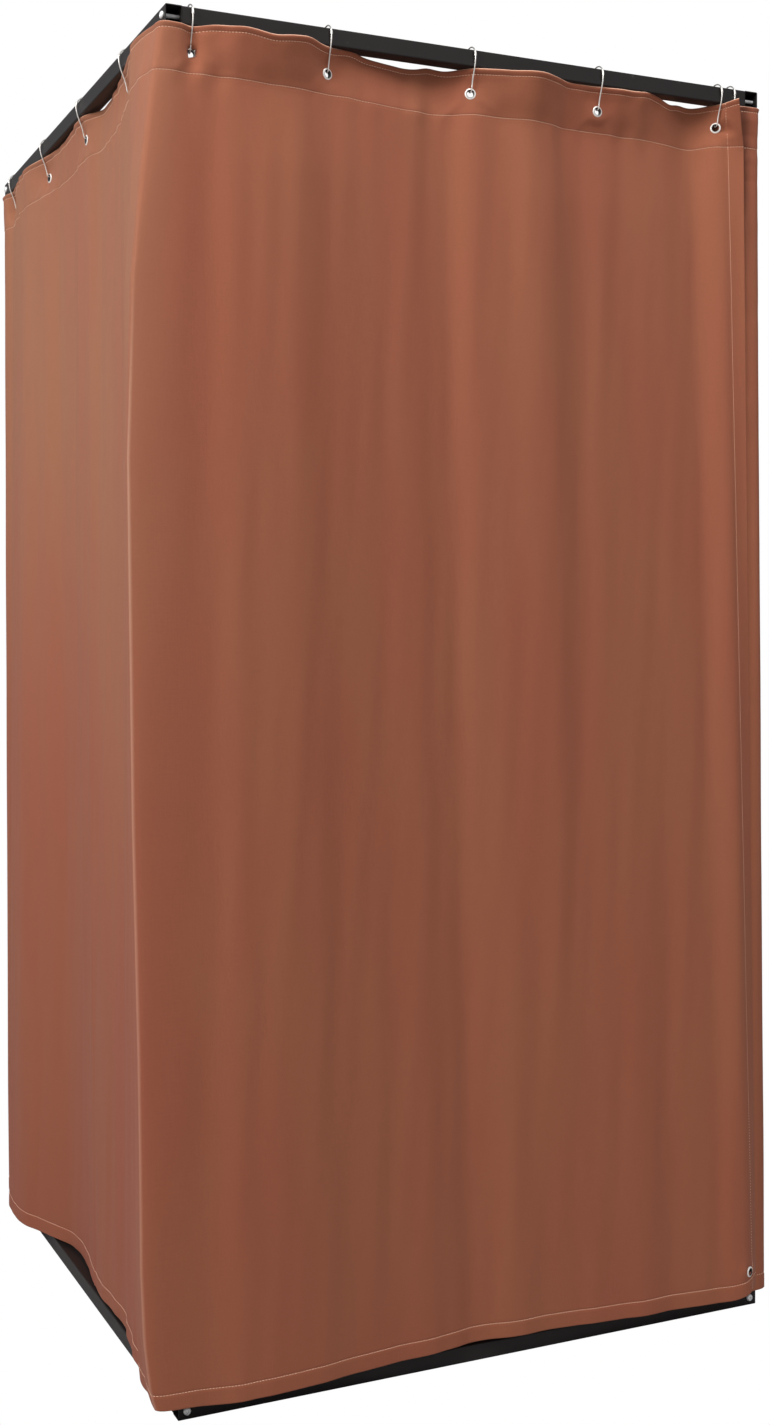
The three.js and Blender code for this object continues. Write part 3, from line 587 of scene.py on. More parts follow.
class HungSheet:
    """The canvas as one surface: s runs along it in walking order, d down from its top edge."""

    table_step = 0.002
    soften_steps = 3
    steps_between = 80

    def __init__(self):
        fine = np.linspace(0, len(STATIONS) - 1, (len(STATIONS) - 1) * self.steps_between + 1)
        lines = [through_points(np.array([plan_point(place, level) for place in range(len(STATIONS))]), fine)
                 for level in range(LEVELS)]
        seam = lines[SEAM_LEVEL]
        run = np.concatenate([[0], np.cumsum(np.linalg.norm(np.diff(seam, axis=0), axis=1))])
        self.length = run[-1]
        self.table = np.arange(0, self.length + self.table_step, self.table_step)
        self.table[-1] = self.length
        self.plans = []
        for line in lines:
            even = np.stack([np.interp(self.table, run, line[:, axis]) for axis in range(2)], axis=1)
            self.plans.append(soften(even, self.soften_steps))
        self.station_s = np.interp(np.arange(len(STATIONS)), fine, run)
        top = np.array([station["shares"][0] if station["side"] else 0.0 for station in STATIONS])
        swing = np.interp(np.interp(self.table, run, fine), np.arange(len(STATIONS)), top)
        sag = DROOP_SHARE * np.maximum(0, -swing * FOLD_DEPTH - DROOP_FREE)
        self.sag = soften(sag[:, None], 2 * self.soften_steps)[:, 0]
        self.drops = np.array([0, NECK_SHARE * EYELET_DROP, EYELET_DROP,
                               EYELET_DROP + SEAM_BELOW_EYELET, CLOTH_DROP])
        self.wing_s = self.station_s[corner_to("left")]
        self.back_s = self.station_s[corner_to("back")]
        self.split_s = self.station_s[SPLIT_PLACE]
        self.waves = self.wave_table()
        self.puckers = self.pucker_table()
        self.seats = []

    def wave_table(self):
        """Small soft folds as waves along and down the sheet: rates, start and height."""
        pick = np.random.default_rng(11)
        waves = []
        for count, shortest, longest, slant, rise in ((SOFT_WAVES, 0.075, 0.21, 0.35, SOFT_RISE),
                                                      (TINY_WAVES, 0.03, 0.07, 3.0, TINY_RISE)):
            for _ in range(count):
                waves.append((1 / pick.uniform(shortest, longest), pick.uniform(-slant, slant),
                              pick.uniform(0, 2 * math.pi), rise))
        return waves

    def pucker_table(self):
        """Small pulled folds: slanting from each eyelet and gathered along the header seam."""
        pick = np.random.default_rng(5)
        down, along = np.meshgrid(np.arange(0, PUCKER_DROP, self.table_step), self.table, indexing="ij")
        folds = []
        for place, station in enumerate(STATIONS):
            if station["hook"]:
                for turn in (pick.uniform(28, 50), pick.uniform(130, 152)):
                    folds.append((self.station_s[place], EYELET_DROP, turn, pick.uniform(0.040, 0.062),
                                  0.0055, pick.uniform(0.0008, 0.0014)))
        margin = 0.02
        middle = margin
        while middle < self.length - margin:
            length = pick.uniform(0.022, 0.05)
            rise = 0.0015 if self.wing_s < middle < self.wing_s + 1.0 else 0.0007
            folds.append((middle, self.drops[SEAM_LEVEL] - length / 2, pick.uniform(70, 110), length,
                          pick.uniform(0.004, 0.008), pick.uniform(-rise, rise)))
            middle += pick.uniform(0.018, 0.045)
        field = np.zeros(along.shape)
        for middle, start, turn, length, width, rise in folds:
            way = math.cos(math.radians(turn)), math.sin(math.radians(turn))
            run = (along - middle) * way[0] + (down - start) * way[1]
            aside = (down - start) * way[0] - (along - middle) * way[1]
            field += rise * np.exp(-(aside / width) ** 2 - ((run - length / 2) / (0.45 * length)) ** 4)
        return field

    def pucker(self, along, down):
        """The pulled folds, read between the places of their table."""
        just_inside = 1.001
        across = np.clip(along / self.table_step, 0, self.puckers.shape[1] - just_inside)
        fall = np.clip(down / self.table_step, 0, self.puckers.shape[0] - just_inside)
        column, row = across.astype(int), fall.astype(int)
        across, fall = across - column, fall - row
        table = self.puckers
        upper = table[row, column] * (1 - across) + table[row, column + 1] * across
        lower = table[row + 1, column] * (1 - across) + table[row + 1, column + 1] * across
        return (upper * (1 - fall) + lower * fall) * clipped((PUCKER_DROP - down) / 0.02)

    def swell(self, along, down):
        """The broad soft folds and the creases across the hidden end."""
        share = clipped(down / CLOTH_DROP)
        below_top = clipped((down - 0.03) / 0.15)
        rise = sum((top * (1 - share) + foot * share) * bell(along - middle, width)
                   for middle, width, top, foot in SWELLS)
        hidden_end = clipped((along - self.length + 0.09) / 0.03)
        return rise * below_top + hidden_end * sum(
            depth * bell(down - drop, width) for drop, width, depth in CROSS_CREASES)

    def level_weights(self, down):
        """How much each of the five plan outlines counts at a drop, with the bends rounded."""
        weights = np.zeros((LEVELS, *down.shape))
        for offset, part in BEND_STEPS:
            shifted = np.clip(down + offset, 0, CLOTH_DROP)
            for level, peak in enumerate(np.eye(LEVELS)):
                weights[level] += part * np.interp(shifted, self.drops, peak)
        return weights

    def plan(self, along, down):
        """Where the plan outlines put the cloth."""
        weights = self.level_weights(down)
        plan = np.zeros((*along.shape, 2))
        for level, table in enumerate(self.plans):
            for axis in range(2):
                plan[..., axis] += weights[level] * np.interp(along, self.table, table[:, axis])
        return plan

    def height(self, along, down):
        """The cloth sags between hooks, and its top edge and its foot ride up or down in places."""
        sag = np.interp(along, self.table, self.sag)
        lift = sum(rise * bell(along - middle, width) for middle, width, rise in LIFTS)
        foot = sum(rise * bell(along - middle % self.length, width) for middle, width, rise in FOOT_LIFTS)
        foot = foot + CORNER_FOOT_LIFT * bell(along - self.wing_s, CORNER_FOOT_WIDTH)
        height = HEADER_TOP - down - sag * (1 - down / CLOTH_DROP) + lift * bell(down, LIFT_REACH)
        return height + foot * bell(CLOTH_DROP - down, LIFT_REACH)

    def wing(self, along, down):
        """How far the stiff front left corner stands out: it ends at the split and fades along the side."""
        past = along - self.wing_s
        held = clipped(1 - np.maximum(past / (self.split_s - self.wing_s), past / WING_SIDE))
        held = np.where(past < 0, eased(held), held ** WING_CURVE)
        return held * np.interp(down, *zip(*WING))

    def course(self, along):
        """Which way the cloth runs, in plan, at its header seam."""
        seam = self.plans[SEAM_LEVEL]
        way = np.stack([np.interp(along + COURSE_REACH, self.table, seam[:, axis])
                        - np.interp(along - COURSE_REACH, self.table, seam[:, axis])
                        for axis in range(2)], axis=-1)
        return way / np.linalg.norm(way, axis=-1, keepdims=True)

    def ripple(self, along, down):
        """How far waves, puckers and soft folds stand off the plan."""
        def waved(waves):
            return sum(size * np.sin(2 * math.pi * (rate * along + slant * down) + start)
                       for rate, slant, start, size in waves)

        small, tiny = waved(self.waves[:SOFT_WAVES]), waved(self.waves[SOFT_WAVES:])
        # The tiny waves are stronger along the header seam and under the top edge
        gathers = bell(down - self.drops[SEAM_LEVEL], 0.02) + bell(down - 0.012, 0.014)
        ripple = clipped(down / 0.2) * small + tiny
        return ripple + 2.2 * gathers * tiny + self.pucker(along, down) + self.swell(along, down)

    def rough(self, along, down):
        """The surface before eyelets flatten it."""
        plan, wing = self.plan(along, down), self.wing(along, down)
        plan[..., 0] -= wing
        plan[..., 1] += WING_LEAN * wing
        way, ripple = self.course(along), self.ripple(along, down)
        # The split stays at one place along the front, because the front panel gathers towards it
        off_split = 1 - bell(along - self.split_s, SPLIT_REACH)
        plan[..., 0] -= way[..., 1] * ripple * off_split
        plan[..., 1] += way[..., 0] * ripple
        return np.concatenate([plan, self.height(along, down)[..., None]], axis=-1)

    def point(self, along, down):
        """The finished surface, with the cloth flattened round its eyelets."""
        place = self.rough(along, down)
        for seat in self.seats:
            reach = np.linalg.norm(place - seat["middle"], axis=-1)
            grip = eased(clipped((seat["hold"] - reach) / (seat["hold"] - EYELET_GRIP)))
            proud = (place - seat["middle"]) @ seat["facing"]
            place = place - (grip * proud)[..., None] * seat["facing"]
        return place

    def facing(self, along, down):
        """Which way the surface faces, out of the cabin."""
        reach = 0.0015
        way = self.point(along + reach, down) - self.point(along - reach, down)
        fall = self.point(along, down + reach) - self.point(along, down - reach)
        out = np.cross(way, fall)
        return out / np.linalg.norm(out, axis=-1, keepdims=True)

    def seat_eyelet(self, along, down, node=None):
        """Flattens the cloth round one eyelet, whose place comes from its node where it has one."""
        spot, level = np.array([along]), np.array([down])
        middle = middle_of(node) if node else self.rough(spot, level)[0]
        beside_post = node == "eyelet_front_1"
        if beside_post:
            middle = middle + np.array([0, -POST_CLEARANCE, 0])
        reach = 0.003
        way = (self.rough(spot + reach, level) - self.rough(spot - reach, level))[0]
        way[2] = 0
        stretch = np.linalg.norm(way) / (2 * reach)
        way /= np.linalg.norm(way)
        self.seats.append({"s": along, "d": down, "middle": middle, "stretch": stretch,
                           "hold": POST_HOLD if beside_post else EYELET_HOLD,
                           "facing": np.array([-way[1], way[0], 0])})
        return self.seats[-1]


sheet = HungSheet()


def hook_names():
    """Each hung station's hook, in walking order. The front's own five are numbered the other way."""
    count = {"front": 0, "left": 0, "back": 0, "right": 0}
    names = {}
    hung = [place for place, station in enumerate(STATIONS) if station["hook"]]
    for place in hung[:-1]:
        side = STATIONS[place]["side"]
        count[side] += 1
        number = 6 - count[side] if side == "front" else count[side]
        names[place] = f"{side}_{number}"
    names[hung[-1]] = "front_6"
    return names


HEM_NODE = "eyelet_hem_corner"


def seat_eyelets():
    """Seats the hooks' eyelets in walking order, and then the one at the hem's free corner."""
    seats = {}
    for place, name in hook_names().items():
        node = f"eyelet_{name}"
        seats[name] = sheet.seat_eyelet(sheet.station_s[place], EYELET_DROP,
                                        node if node in frame["nodes"] else None)
    middle = middle_of(HEM_NODE)
    down = HEADER_TOP - middle[2]
    near_edge = np.linspace(0, 0.06, 61)
    line = sheet.rough(near_edge, np.full(len(near_edge), down))
    nearest = np.argmin(np.linalg.norm(line[:, :2] - middle[:2], axis=1))
    seats["hem_corner"] = sheet.seat_eyelet(near_edge[nearest], down, HEM_NODE)
    return seats


SEATS = seat_eyelets()

# Steps of the mesh lines off an edge, a sewn line, a crease and an eyelet's middle
EDGE_STEPS = (0.0, 0.00003, 0.0003, 0.0009, 0.0018, 0.003)
SEAM_STEPS = (-0.0045, -0.0022, -0.001, 0.0, 0.001, 0.0022, 0.0045)
CREASE_STEPS = (-0.006, -0.0035, -0.0018, 0.0, 0.0018, 0.0035, 0.006)
HOLE_STEPS = (-0.009, -0.0054, -0.0018, 0.0018, 0.0054, 0.009)
# Mesh lines closer than this are one line
LEAST_STEP = 0.00001
# The mesh opens up from a point to the radius of the hole within its reach, and loses the one
# quad whose middle is as close to the eyelet's as HOLE_QUAD
HOLE_RADIUS, HOLE_REACH, HOLE_MARGIN, HOLE_QUAD = 0.007, 0.0115, 0.0005, 0.001
# Closer mesh rows down from the top edge and up from the foot
DENSE_TOP, DENSE_FOOT, DENSE_PITCH = 0.12, 0.045, 0.004
# What each panel leaves free at a cut
PANEL_GAP = 0.00001
# Creases pressed down the cloth: place along it and the drop where they start, then their form
CREASES = ((sheet.wing_s, 0.2), (1.47, 0.75))
CREASE_RISE, CREASE_WIDTH, CREASE_FADE = 0.0012, 0.0022, 0.3
# How much doubled bands add outside and inside, and over what distance
BAND_OUTER, BAND_INNER, BAND_STEP = 0.0004, 0.0012, 0.0015
# The rolled top edge: how far it bulges and where down it the bulge is highest
ROLL_RISE, ROLL_CREST = 0.0017, 0.3
# How deep and wide the stitches pull a sewn line in
SEWN_DEPTH, SEWN_WIDTH = 0.0006, 0.0014
# How far in from an edge the cloth's thickness is rounded, and the square of what is left there
EDGE_ROUND, EDGE_SHARE = 0.0016, 0.02


def grid_marks(low, high, pitch_at, lines, holes, creases=()):
    """Mesh lines from low to high: close at edges, sewn lines and holes, and even elsewhere."""
    marks = [low + step for step in EDGE_STEPS] + [high - step for step in EDGE_STEPS]
    for line in lines:
        marks += [line + step for step in SEAM_STEPS]
    marks += [line + step for line, _ in creases for step in CREASE_STEPS]
    for middle, stretch in holes:
        marks = [mark for mark in marks if abs(mark - middle) > (HOLE_REACH + HOLE_MARGIN) / stretch]
    for middle, stretch in holes:
        marks += [middle + step / stretch for step in HOLE_STEPS]
    marks = sorted(set(mark for mark in marks + [low, high] if low <= mark <= high))
    places = [marks[0]]
    for mark in marks[1:]:
        gap = mark - places[-1]
        if gap > LEAST_STEP:
            steps = max(1, math.ceil(gap / pitch_at(mark - gap / 2)))
            places += list(np.linspace(places[-1], mark, steps + 1)[1:])
    return np.array(places)


def panel_span(name):
    """From where to where along the sheet a panel runs, a hair short of its neighbours."""
    first, last = PANELS[name]
    return (sheet.station_s[first] + (PANEL_GAP if first else 0),
            sheet.station_s[last] - (PANEL_GAP if last < len(STATIONS) - 1 else 0))


def panel_grid(name, canvas):
    """The mesh lines of a panel along and down the cloth, and the eyelets in it."""
    def row_pitch(mark):
        dense = mark < DENSE_TOP or mark > CLOTH_DROP - DENSE_FOOT
        return DENSE_PITCH if dense else canvas.row_pitch

    low, high = panel_span(name)
    seats = [seat for seat in SEATS.values() if low < seat["s"] < high]
    sides = [line for line in (canvas.side_hem, sheet.length - canvas.side_hem) if low < line < high]
    columns = grid_marks(low, high, lambda mark: canvas.column_pitch, sides,
                         [(seat["s"], seat["stretch"]) for seat in seats], CREASES)
    sewn = [canvas.rolled_edge, canvas.header, CLOTH_DROP - canvas.hem, DENSE_TOP, CLOTH_DROP - DENSE_FOOT]
    drops = sorted({round(seat["d"], 6) for seat in seats})
    rows = grid_marks(0, CLOTH_DROP, row_pitch, sewn, [(drop, 1.0) for drop in drops])
    return columns, rows, seats


def relief(along, down, canvas):
    """How far the outer and the inner face stand off the middle of the cloth."""
    from_free = np.minimum(along, sheet.length - along)
    within_bands = (canvas.header - down, down - CLOTH_DROP + canvas.hem, canvas.side_hem - from_free)
    top, foot, side = (clipped(inside / BAND_STEP + 0.5) for inside in within_bands)
    doubled = np.maximum(np.maximum(top, foot), side)
    outer = canvas.thickness / 2 + BAND_OUTER * doubled
    inner = canvas.thickness / 2 + BAND_INNER * doubled
    roll = down / canvas.rolled_edge
    bulge = np.where(roll < ROLL_CREST, np.sqrt(clipped(roll / ROLL_CREST)), (1 - roll) / (1 - ROLL_CREST))
    outer = outer + ROLL_RISE * clipped(bulge)
    for away in (down - canvas.rolled_edge, down - canvas.header, down - CLOTH_DROP + canvas.hem,
                 from_free - canvas.side_hem):
        outer = outer - SEWN_DEPTH * bell(away, SEWN_WIDTH)
    for line, start in CREASES:
        outer = outer + CREASE_RISE * clipped((down - start) / CREASE_FADE) * bell(along - line, CREASE_WIDTH)
    nearest = np.minimum(np.minimum(down, CLOTH_DROP - down), from_free)
    rounding = np.sqrt(np.clip(1 - (1 - clipped(nearest / EDGE_ROUND)) ** 2, EDGE_SHARE, 1))
    return outer * rounding, inner * rounding


def skin(along, down, canvas, lift=0.0):
    """Points on the outer face of the cloth."""
    outer, _ = relief(along, down, canvas)
    return sheet.point(along, down) + sheet.facing(along, down) * (outer + lift)[..., None]


def open_eyelets(along, down, seats):
    """Pushes the mesh lines outward round each eyelet, so that one face is left over its hole."""
    for seat in seats:
        across = (along - seat["s"]) * seat["stretch"]
        fall = down - seat["d"]
        never_zero = 1e-9
        reach = np.maximum(np.hypot(across, fall), never_zero)
        grown = HOLE_RADIUS + reach * (1 - HOLE_RADIUS / HOLE_REACH)
        push = np.where(reach < HOLE_REACH, grown / reach, 1)
        along = seat["s"] + across * push / seat["stretch"]
        down = seat["d"] + fall * push
    return along, down


def linked(name, mesh):
    """A new object with the mesh, in the scene."""
    made = bpy.data.objects.new(name, mesh)
    bpy.context.scene.collection.objects.link(made)
    return made


def plain_object(name, points, edges=(), faces=()):
    """A new object made of points, with the edges or flat faces between them."""
    mesh = bpy.data.meshes.new(name)
    mesh.from_pydata([tuple(point) for point in points], list(edges), [tuple(face) for face in faces])
    return linked(name, mesh)


def cloth_panel(name, canvas, material):
    """One panel of the sheet as a closed double surface with its eyelet holes and hems."""
    columns, rows, seats = panel_grid(name, canvas)
    plain_s, plain_d = np.meshgrid(columns, rows)
    along, down = open_eyelets(plain_s, plain_d, seats)
    middle, out = sheet.point(along, down), sheet.facing(along, down)
    outer, inner = relief(along, down, canvas)
    points = np.concatenate([(middle + out * outer[..., None]).reshape(-1, 3),
                             (middle - out * inner[..., None]).reshape(-1, 3)])
    down_count, across_count = along.shape
    index = np.arange(down_count * across_count).reshape(down_count, across_count)
    quads = np.stack([index[:-1, :-1], index[:-1, 1:], index[1:, 1:], index[1:, :-1]], axis=-1)
    centre_s = (plain_s[:-1, :-1] + plain_s[1:, 1:]) / 2
    centre_d = (plain_d[:-1, :-1] + plain_d[1:, 1:]) / 2
    keep = np.ones(centre_s.shape, bool)
    for seat in seats:
        keep &= ~((np.abs(centre_s - seat["s"]) < HOLE_QUAD) & (np.abs(centre_d - seat["d"]) < HOLE_QUAD))
    quads = quads[keep]
    behind = down_count * across_count
    # Walls close the rim between the two faces: along each edge that only one quad has
    starts, ends = quads.ravel(), np.roll(quads, -1, axis=1).ravel()
    lone = ~np.isin(starts.astype(np.int64) * behind + ends, ends.astype(np.int64) * behind + starts)
    walls = np.stack([ends[lone], starts[lone], starts[lone] + behind, ends[lone] + behind], axis=-1)
    faces = np.concatenate([quads, quads[:, ::-1] + behind, walls])
    panel = plain_object(f"canvas_{name}", points, faces=faces.tolist())
    panel.data.materials.append(material)
    panel.data.shade_smooth()
    # Sharp where the panel was cut from its neighbour, so that its end wall doesn't darken its face
    cuts = [end for end in (columns[0], columns[-1]) if PANEL_GAP / 2 < end < sheet.length - PANEL_GAP / 2]
    on_cut = np.isin(np.tile(plain_s.ravel(), 2), cuts)
    pairs = np.empty(2 * len(panel.data.edges), np.int32)
    panel.data.edges.foreach_get("vertices", pairs)
    panel.data.edges.foreach_set("use_edge_sharp", on_cut[pairs].reshape(-1, 2).all(axis=1))
    flat = np.tile(np.stack([along.ravel(), down.ravel()], axis=-1), (2, 1))
    layer = panel.data.uv_layers.new(name="cloth")
    corners = np.empty(len(panel.data.loops), np.int32)
    panel.data.loops.foreach_get("vertex_index", corners)
    layer.data.foreach_set("uv", flat[corners].astype(np.float32).ravel())
    return panel


# Geometry node trees for what repeats

def tree_with(name, inputs):
    """A new tree with the inputs, its pen and its input node."""
    tree = bpy.data.node_groups.new(name, "GeometryNodeTree")
    tree.interface.new_socket("Geometry", in_out="INPUT", socket_type="NodeSocketGeometry")
    for label, kind, value in inputs:
        entry = tree.interface.new_socket(label, in_out="INPUT", socket_type=kind)
        if value is not None:
            entry.default_value = value
    tree.interface.new_socket("Geometry", in_out="OUTPUT", socket_type="NodeSocketGeometry")
    pen = NodePen(tree)
    return tree, pen, pen.add("NodeGroupInput")


def close_tree(pen, geometry, material):
    """Ends a tree: copies made real, smooth and in the material."""
    real = pen.add("GeometryNodeRealizeInstances", None, {"Geometry": geometry})
    smooth = pen.add("GeometryNodeSetShadeSmooth", None, {"Geometry": real.outputs[0]})
    finish = pen.add("GeometryNodeSetMaterial", None, {"Geometry": smooth.outputs[0]})
    pen.feed(finish.inputs["Material"], material)
    pen.add("NodeGroupOutput", None, {"Geometry": finish.outputs[0]})


def stitch_tree():
    """Short rounded stitches, end to end along every line of the mesh."""
    tree, pen, start = tree_with("stitches along lines", [
        ("Stitch", "NodeSocketFloat", 0.0032), ("Thread", "NodeSocketFloat", 0.0007),
        ("Pitch", "NodeSocketFloat", 0.0044), ("Finish", "NodeSocketMaterial", None)])
    line = pen.add("GeometryNodeMeshToCurve", None, {"Mesh": start.outputs["Geometry"]})
    even = pen.add("GeometryNodeResampleCurve", {"mode": "LENGTH"}, {
        "Curve": line.outputs[0], "Length": start.outputs["Pitch"]})
    bead = pen.add("GeometryNodeMeshUVSphere", None, {"Segments": 6, "Rings": 4, "Radius": 0.5})
    size = pen.add("ShaderNodeCombineXYZ", None, {
        "X": start.outputs["Stitch"], "Y": start.outputs["Thread"], "Z": start.outputs["Thread"]})
    shaped = pen.add("GeometryNodeTransform", None, {"Geometry": bead.outputs[0], "Scale": size.outputs[0]})
    heading = pen.add("GeometryNodeInputTangent")
    turn = pen.add("FunctionNodeAlignRotationToVector", {"axis": "X"}, {"Vector": heading.outputs[0]})
    laid = pen.add("GeometryNodeInstanceOnPoints", None, {
        "Points": even.outputs[0], "Instance": shaped.outputs[0], "Rotation": turn.outputs[0]})
    close_tree(pen, laid.outputs[0], start.outputs["Finish"])
    return tree


def pattern_from(pen, start, entry):
    """The mesh of the object given to one of the tree's inputs."""
    source = pen.add("GeometryNodeObjectInfo", {"transform_space": "ORIGINAL"},
                     {"Object": start.outputs[entry]})
    return source.outputs["Geometry"]


def lay_on_points(pen, start, pattern, aligned):
    """Ends a tree with copies of the pattern on its points, each turned to its point's facing."""
    facing = pen.add("GeometryNodeInputNamedAttribute", {"data_type": "FLOAT_VECTOR"}, {"Name": "facing"})
    turn = pen.add("FunctionNodeAlignRotationToVector", aligned, {"Vector": facing.outputs[0]})
    laid = pen.add("GeometryNodeInstanceOnPoints", None, {
        "Points": start.outputs["Geometry"], "Instance": pattern, "Rotation": turn.outputs[0]})
    close_tree(pen, laid.outputs[0], start.outputs["Finish"])


def seated_tree(name):
    """Copies of one pattern piece on points, its Z axis along each point's facing."""
    tree, pen, start = tree_with(name, [
        ("Pattern", "NodeSocketObject", None), ("Finish", "NodeSocketMaterial", None)])
    lay_on_points(pen, start, pattern_from(pen, start, "Pattern"), {"axis": "Z"})
    return tree


def hook_tree():
    """Wire swept round the hook outline with its clasp sleeve, turned to each point's side."""
    tree, pen, start = tree_with("wire hooks on the rail", [
        ("Outline", "NodeSocketObject", None), ("Sleeve", "NodeSocketObject", None),
        ("Wire", "NodeSocketFloat", 0.0023), ("Clasp", "NodeSocketFloat", 0.0034),
        ("Sides", "NodeSocketInt", 12), ("Finish", "NodeSocketMaterial", None)])

    def swept(entry, width):
        path = pen.add("GeometryNodeMeshToCurve", None, {"Mesh": pattern_from(pen, start, entry)})
        half = pen.add("ShaderNodeMath", {"operation": "MULTIPLY"}, {0: start.outputs[width], 1: 0.5})
        ring = pen.add("GeometryNodeCurvePrimitiveCircle", None, {
            "Resolution": start.outputs["Sides"], "Radius": half.outputs[0]})
        return pen.add("GeometryNodeCurveToMesh", None, {
            "Curve": path.outputs[0], "Profile Curve": ring.outputs[0], "Fill Caps": True})

    joined = pen.add("GeometryNodeJoinGeometry")
    for part in (swept("Outline", "Wire"), swept("Sleeve", "Clasp")):
        pen.tree.links.new(part.outputs[0], joined.inputs[0])
    lay_on_points(pen, start, joined.outputs[0], {"axis": "X", "pivot_axis": "Z"})
    return tree


def grown_from(name, source, tree, settings):
    """Runs a node tree on a source object and keeps the result as a plain mesh."""
    modifier = source.modifiers.new("make", "NODES")
    modifier.node_group = tree
    for entry in tree.interface.items_tree:
        if entry.item_type == "SOCKET" and entry.in_out == "INPUT" and entry.name in settings:
            modifier[entry.identifier] = settings[entry.name]
    graph = bpy.context.evaluated_depsgraph_get()
    graph.update()
    mesh = bpy.data.meshes.new_from_object(source.evaluated_get(graph))
    mesh.name = name
    made = linked(name, mesh)
    source.modifiers.remove(modifier)
    bpy.data.objects.remove(source)
    if not mesh.vertices:
        raise RuntimeError(f"{name} came out empty")
    return made


def helper_points(name, points, facings):
    """Loose points for a tree to lay pieces on, each with the way its piece faces."""
    made = plain_object(name, points)
    layer = made.data.attributes.new("facing", "FLOAT_VECTOR", "POINT")
    layer.data.foreach_set("vector", np.array(facings, np.float32).ravel())
    return made


# Pattern pieces

def ring_faces(rings, count, closed=False):
    """Faces between neighbouring rings of points, and from the last to the first where closed."""
    faces = []
    for ring in range(rings if closed else rings - 1):
        ahead = (ring + 1) % rings
        for spot in range(count):
            beside = (spot + 1) % count
            faces.append((ring * count + spot, ring * count + beside,
                          ahead * count + beside, ahead * count + spot))
    return faces


def turns_round(count):
    return np.arange(count) / count * 2 * math.pi


def ring_at(radius, turns, height):
    return np.stack([radius * np.cos(turns), radius * np.sin(turns), np.full(len(turns), height)], axis=1)


def round_ring(radius, height, count=24):
    """Points of a level circle."""
    return ring_at(radius, turns_round(count), height)


def hexagon_ring(flats, height, count=24):
    """Points of a level hexagon, flats wide from side to side."""
    turns = turns_round(count)
    wedge = np.mod(turns + math.pi / 6, math.pi / 3) - math.pi / 6
    return ring_at(flats / 2 / np.cos(wedge), turns, height)


def bolt_pattern(metal):
    """Button-head bolt with a hexagon socket: head above the origin, shank below."""
    head, rise = metal.bolt_head / 2, metal.bolt_rise
    shank, length, tip, brim, flats = 0.003, 0.0365, 0.0008, 0.0003, 0.004
    lip, mouth, floor, drilled = (rise - depth for depth in (0.0001, 0.0005, 0.0019, 0.0024))
    rings = [round_ring(shank * 0.8, -length), round_ring(shank, tip - length), round_ring(shank, 0),
             round_ring(head * 0.97, 0), round_ring(head, brim)]
    # Rings up the dome, by their turn; the last one's sine is about 0.81
    for turn in np.radians((12, 26, 40, 54)):
        dome = brim + (rise - brim) * math.sin(turn) / 0.81
        rings.append(round_ring(head * math.cos(turn) ** 0.85, dome))
    rings += [round_ring(flats * 0.66, rise), hexagon_ring(flats * 1.06, lip), hexagon_ring(flats, mouth),
              hexagon_ring(flats, floor), round_ring(flats * 0.2, drilled)]
    count = len(rings[0])
    last = (len(rings) - 1) * count
    faces = ring_faces(len(rings), count)
    faces += [tuple(range(count))[::-1], tuple(last + spot for spot in range(count))]
    return plain_object("bolt pattern", np.concatenate(rings), faces=faces)


def eyelet_pattern(metal, canvas):
    """Pressed eyelet: a domed flange on each face of the cloth and a rolled bore between them."""
    bore, rim = metal.eyelet_bore / 2, metal.eyelet_outer / 2
    seat, rise, count = canvas.thickness / 2 + BAND_OUTER, 0.0011, 32
    outline = [(bore, -seat * 0.4), (bore, seat * 0.4), (bore + 0.0002, seat + rise * 0.7),
               (bore + 0.0007, seat + rise), (bore + 0.0014, seat + rise * 0.92),
               (rim - 0.0009, seat + rise * 0.42), (rim - 0.0002, seat + rise * 0.18), (rim, seat - 0.0001)]
    under = [(radius, -height - 0.0006) for radius, height in reversed(outline[2:])]
    under += [(bore + 0.0001, -seat - rise - 0.0022), (bore, -seat - rise - 0.0022)]
    loop = outline[1:] + [(rim, -seat - 0.0004)] + under[1:] + [outline[0]]
    points = np.concatenate([round_ring(radius, height, count) for radius, height in loop])
    pattern = plain_object("eyelet pattern", points, faces=ring_faces(len(loop), count, closed=True))
    # The bore lies in shadow, which the metal's colour follows
    bored = [float(radius < bore + 0.0008) for radius, _ in loop for _ in range(count)]
    pattern.data.attributes.new("hidden", "FLOAT", "POINT").data.foreach_set("value", bored)
    shaped = bmesh.new()
    shaped.from_mesh(pattern.data)
    bmesh.ops.recalc_face_normals(shaped, faces=shaped.faces)
    shaped.to_mesh(pattern.data)
    shaped.free()
    return pattern


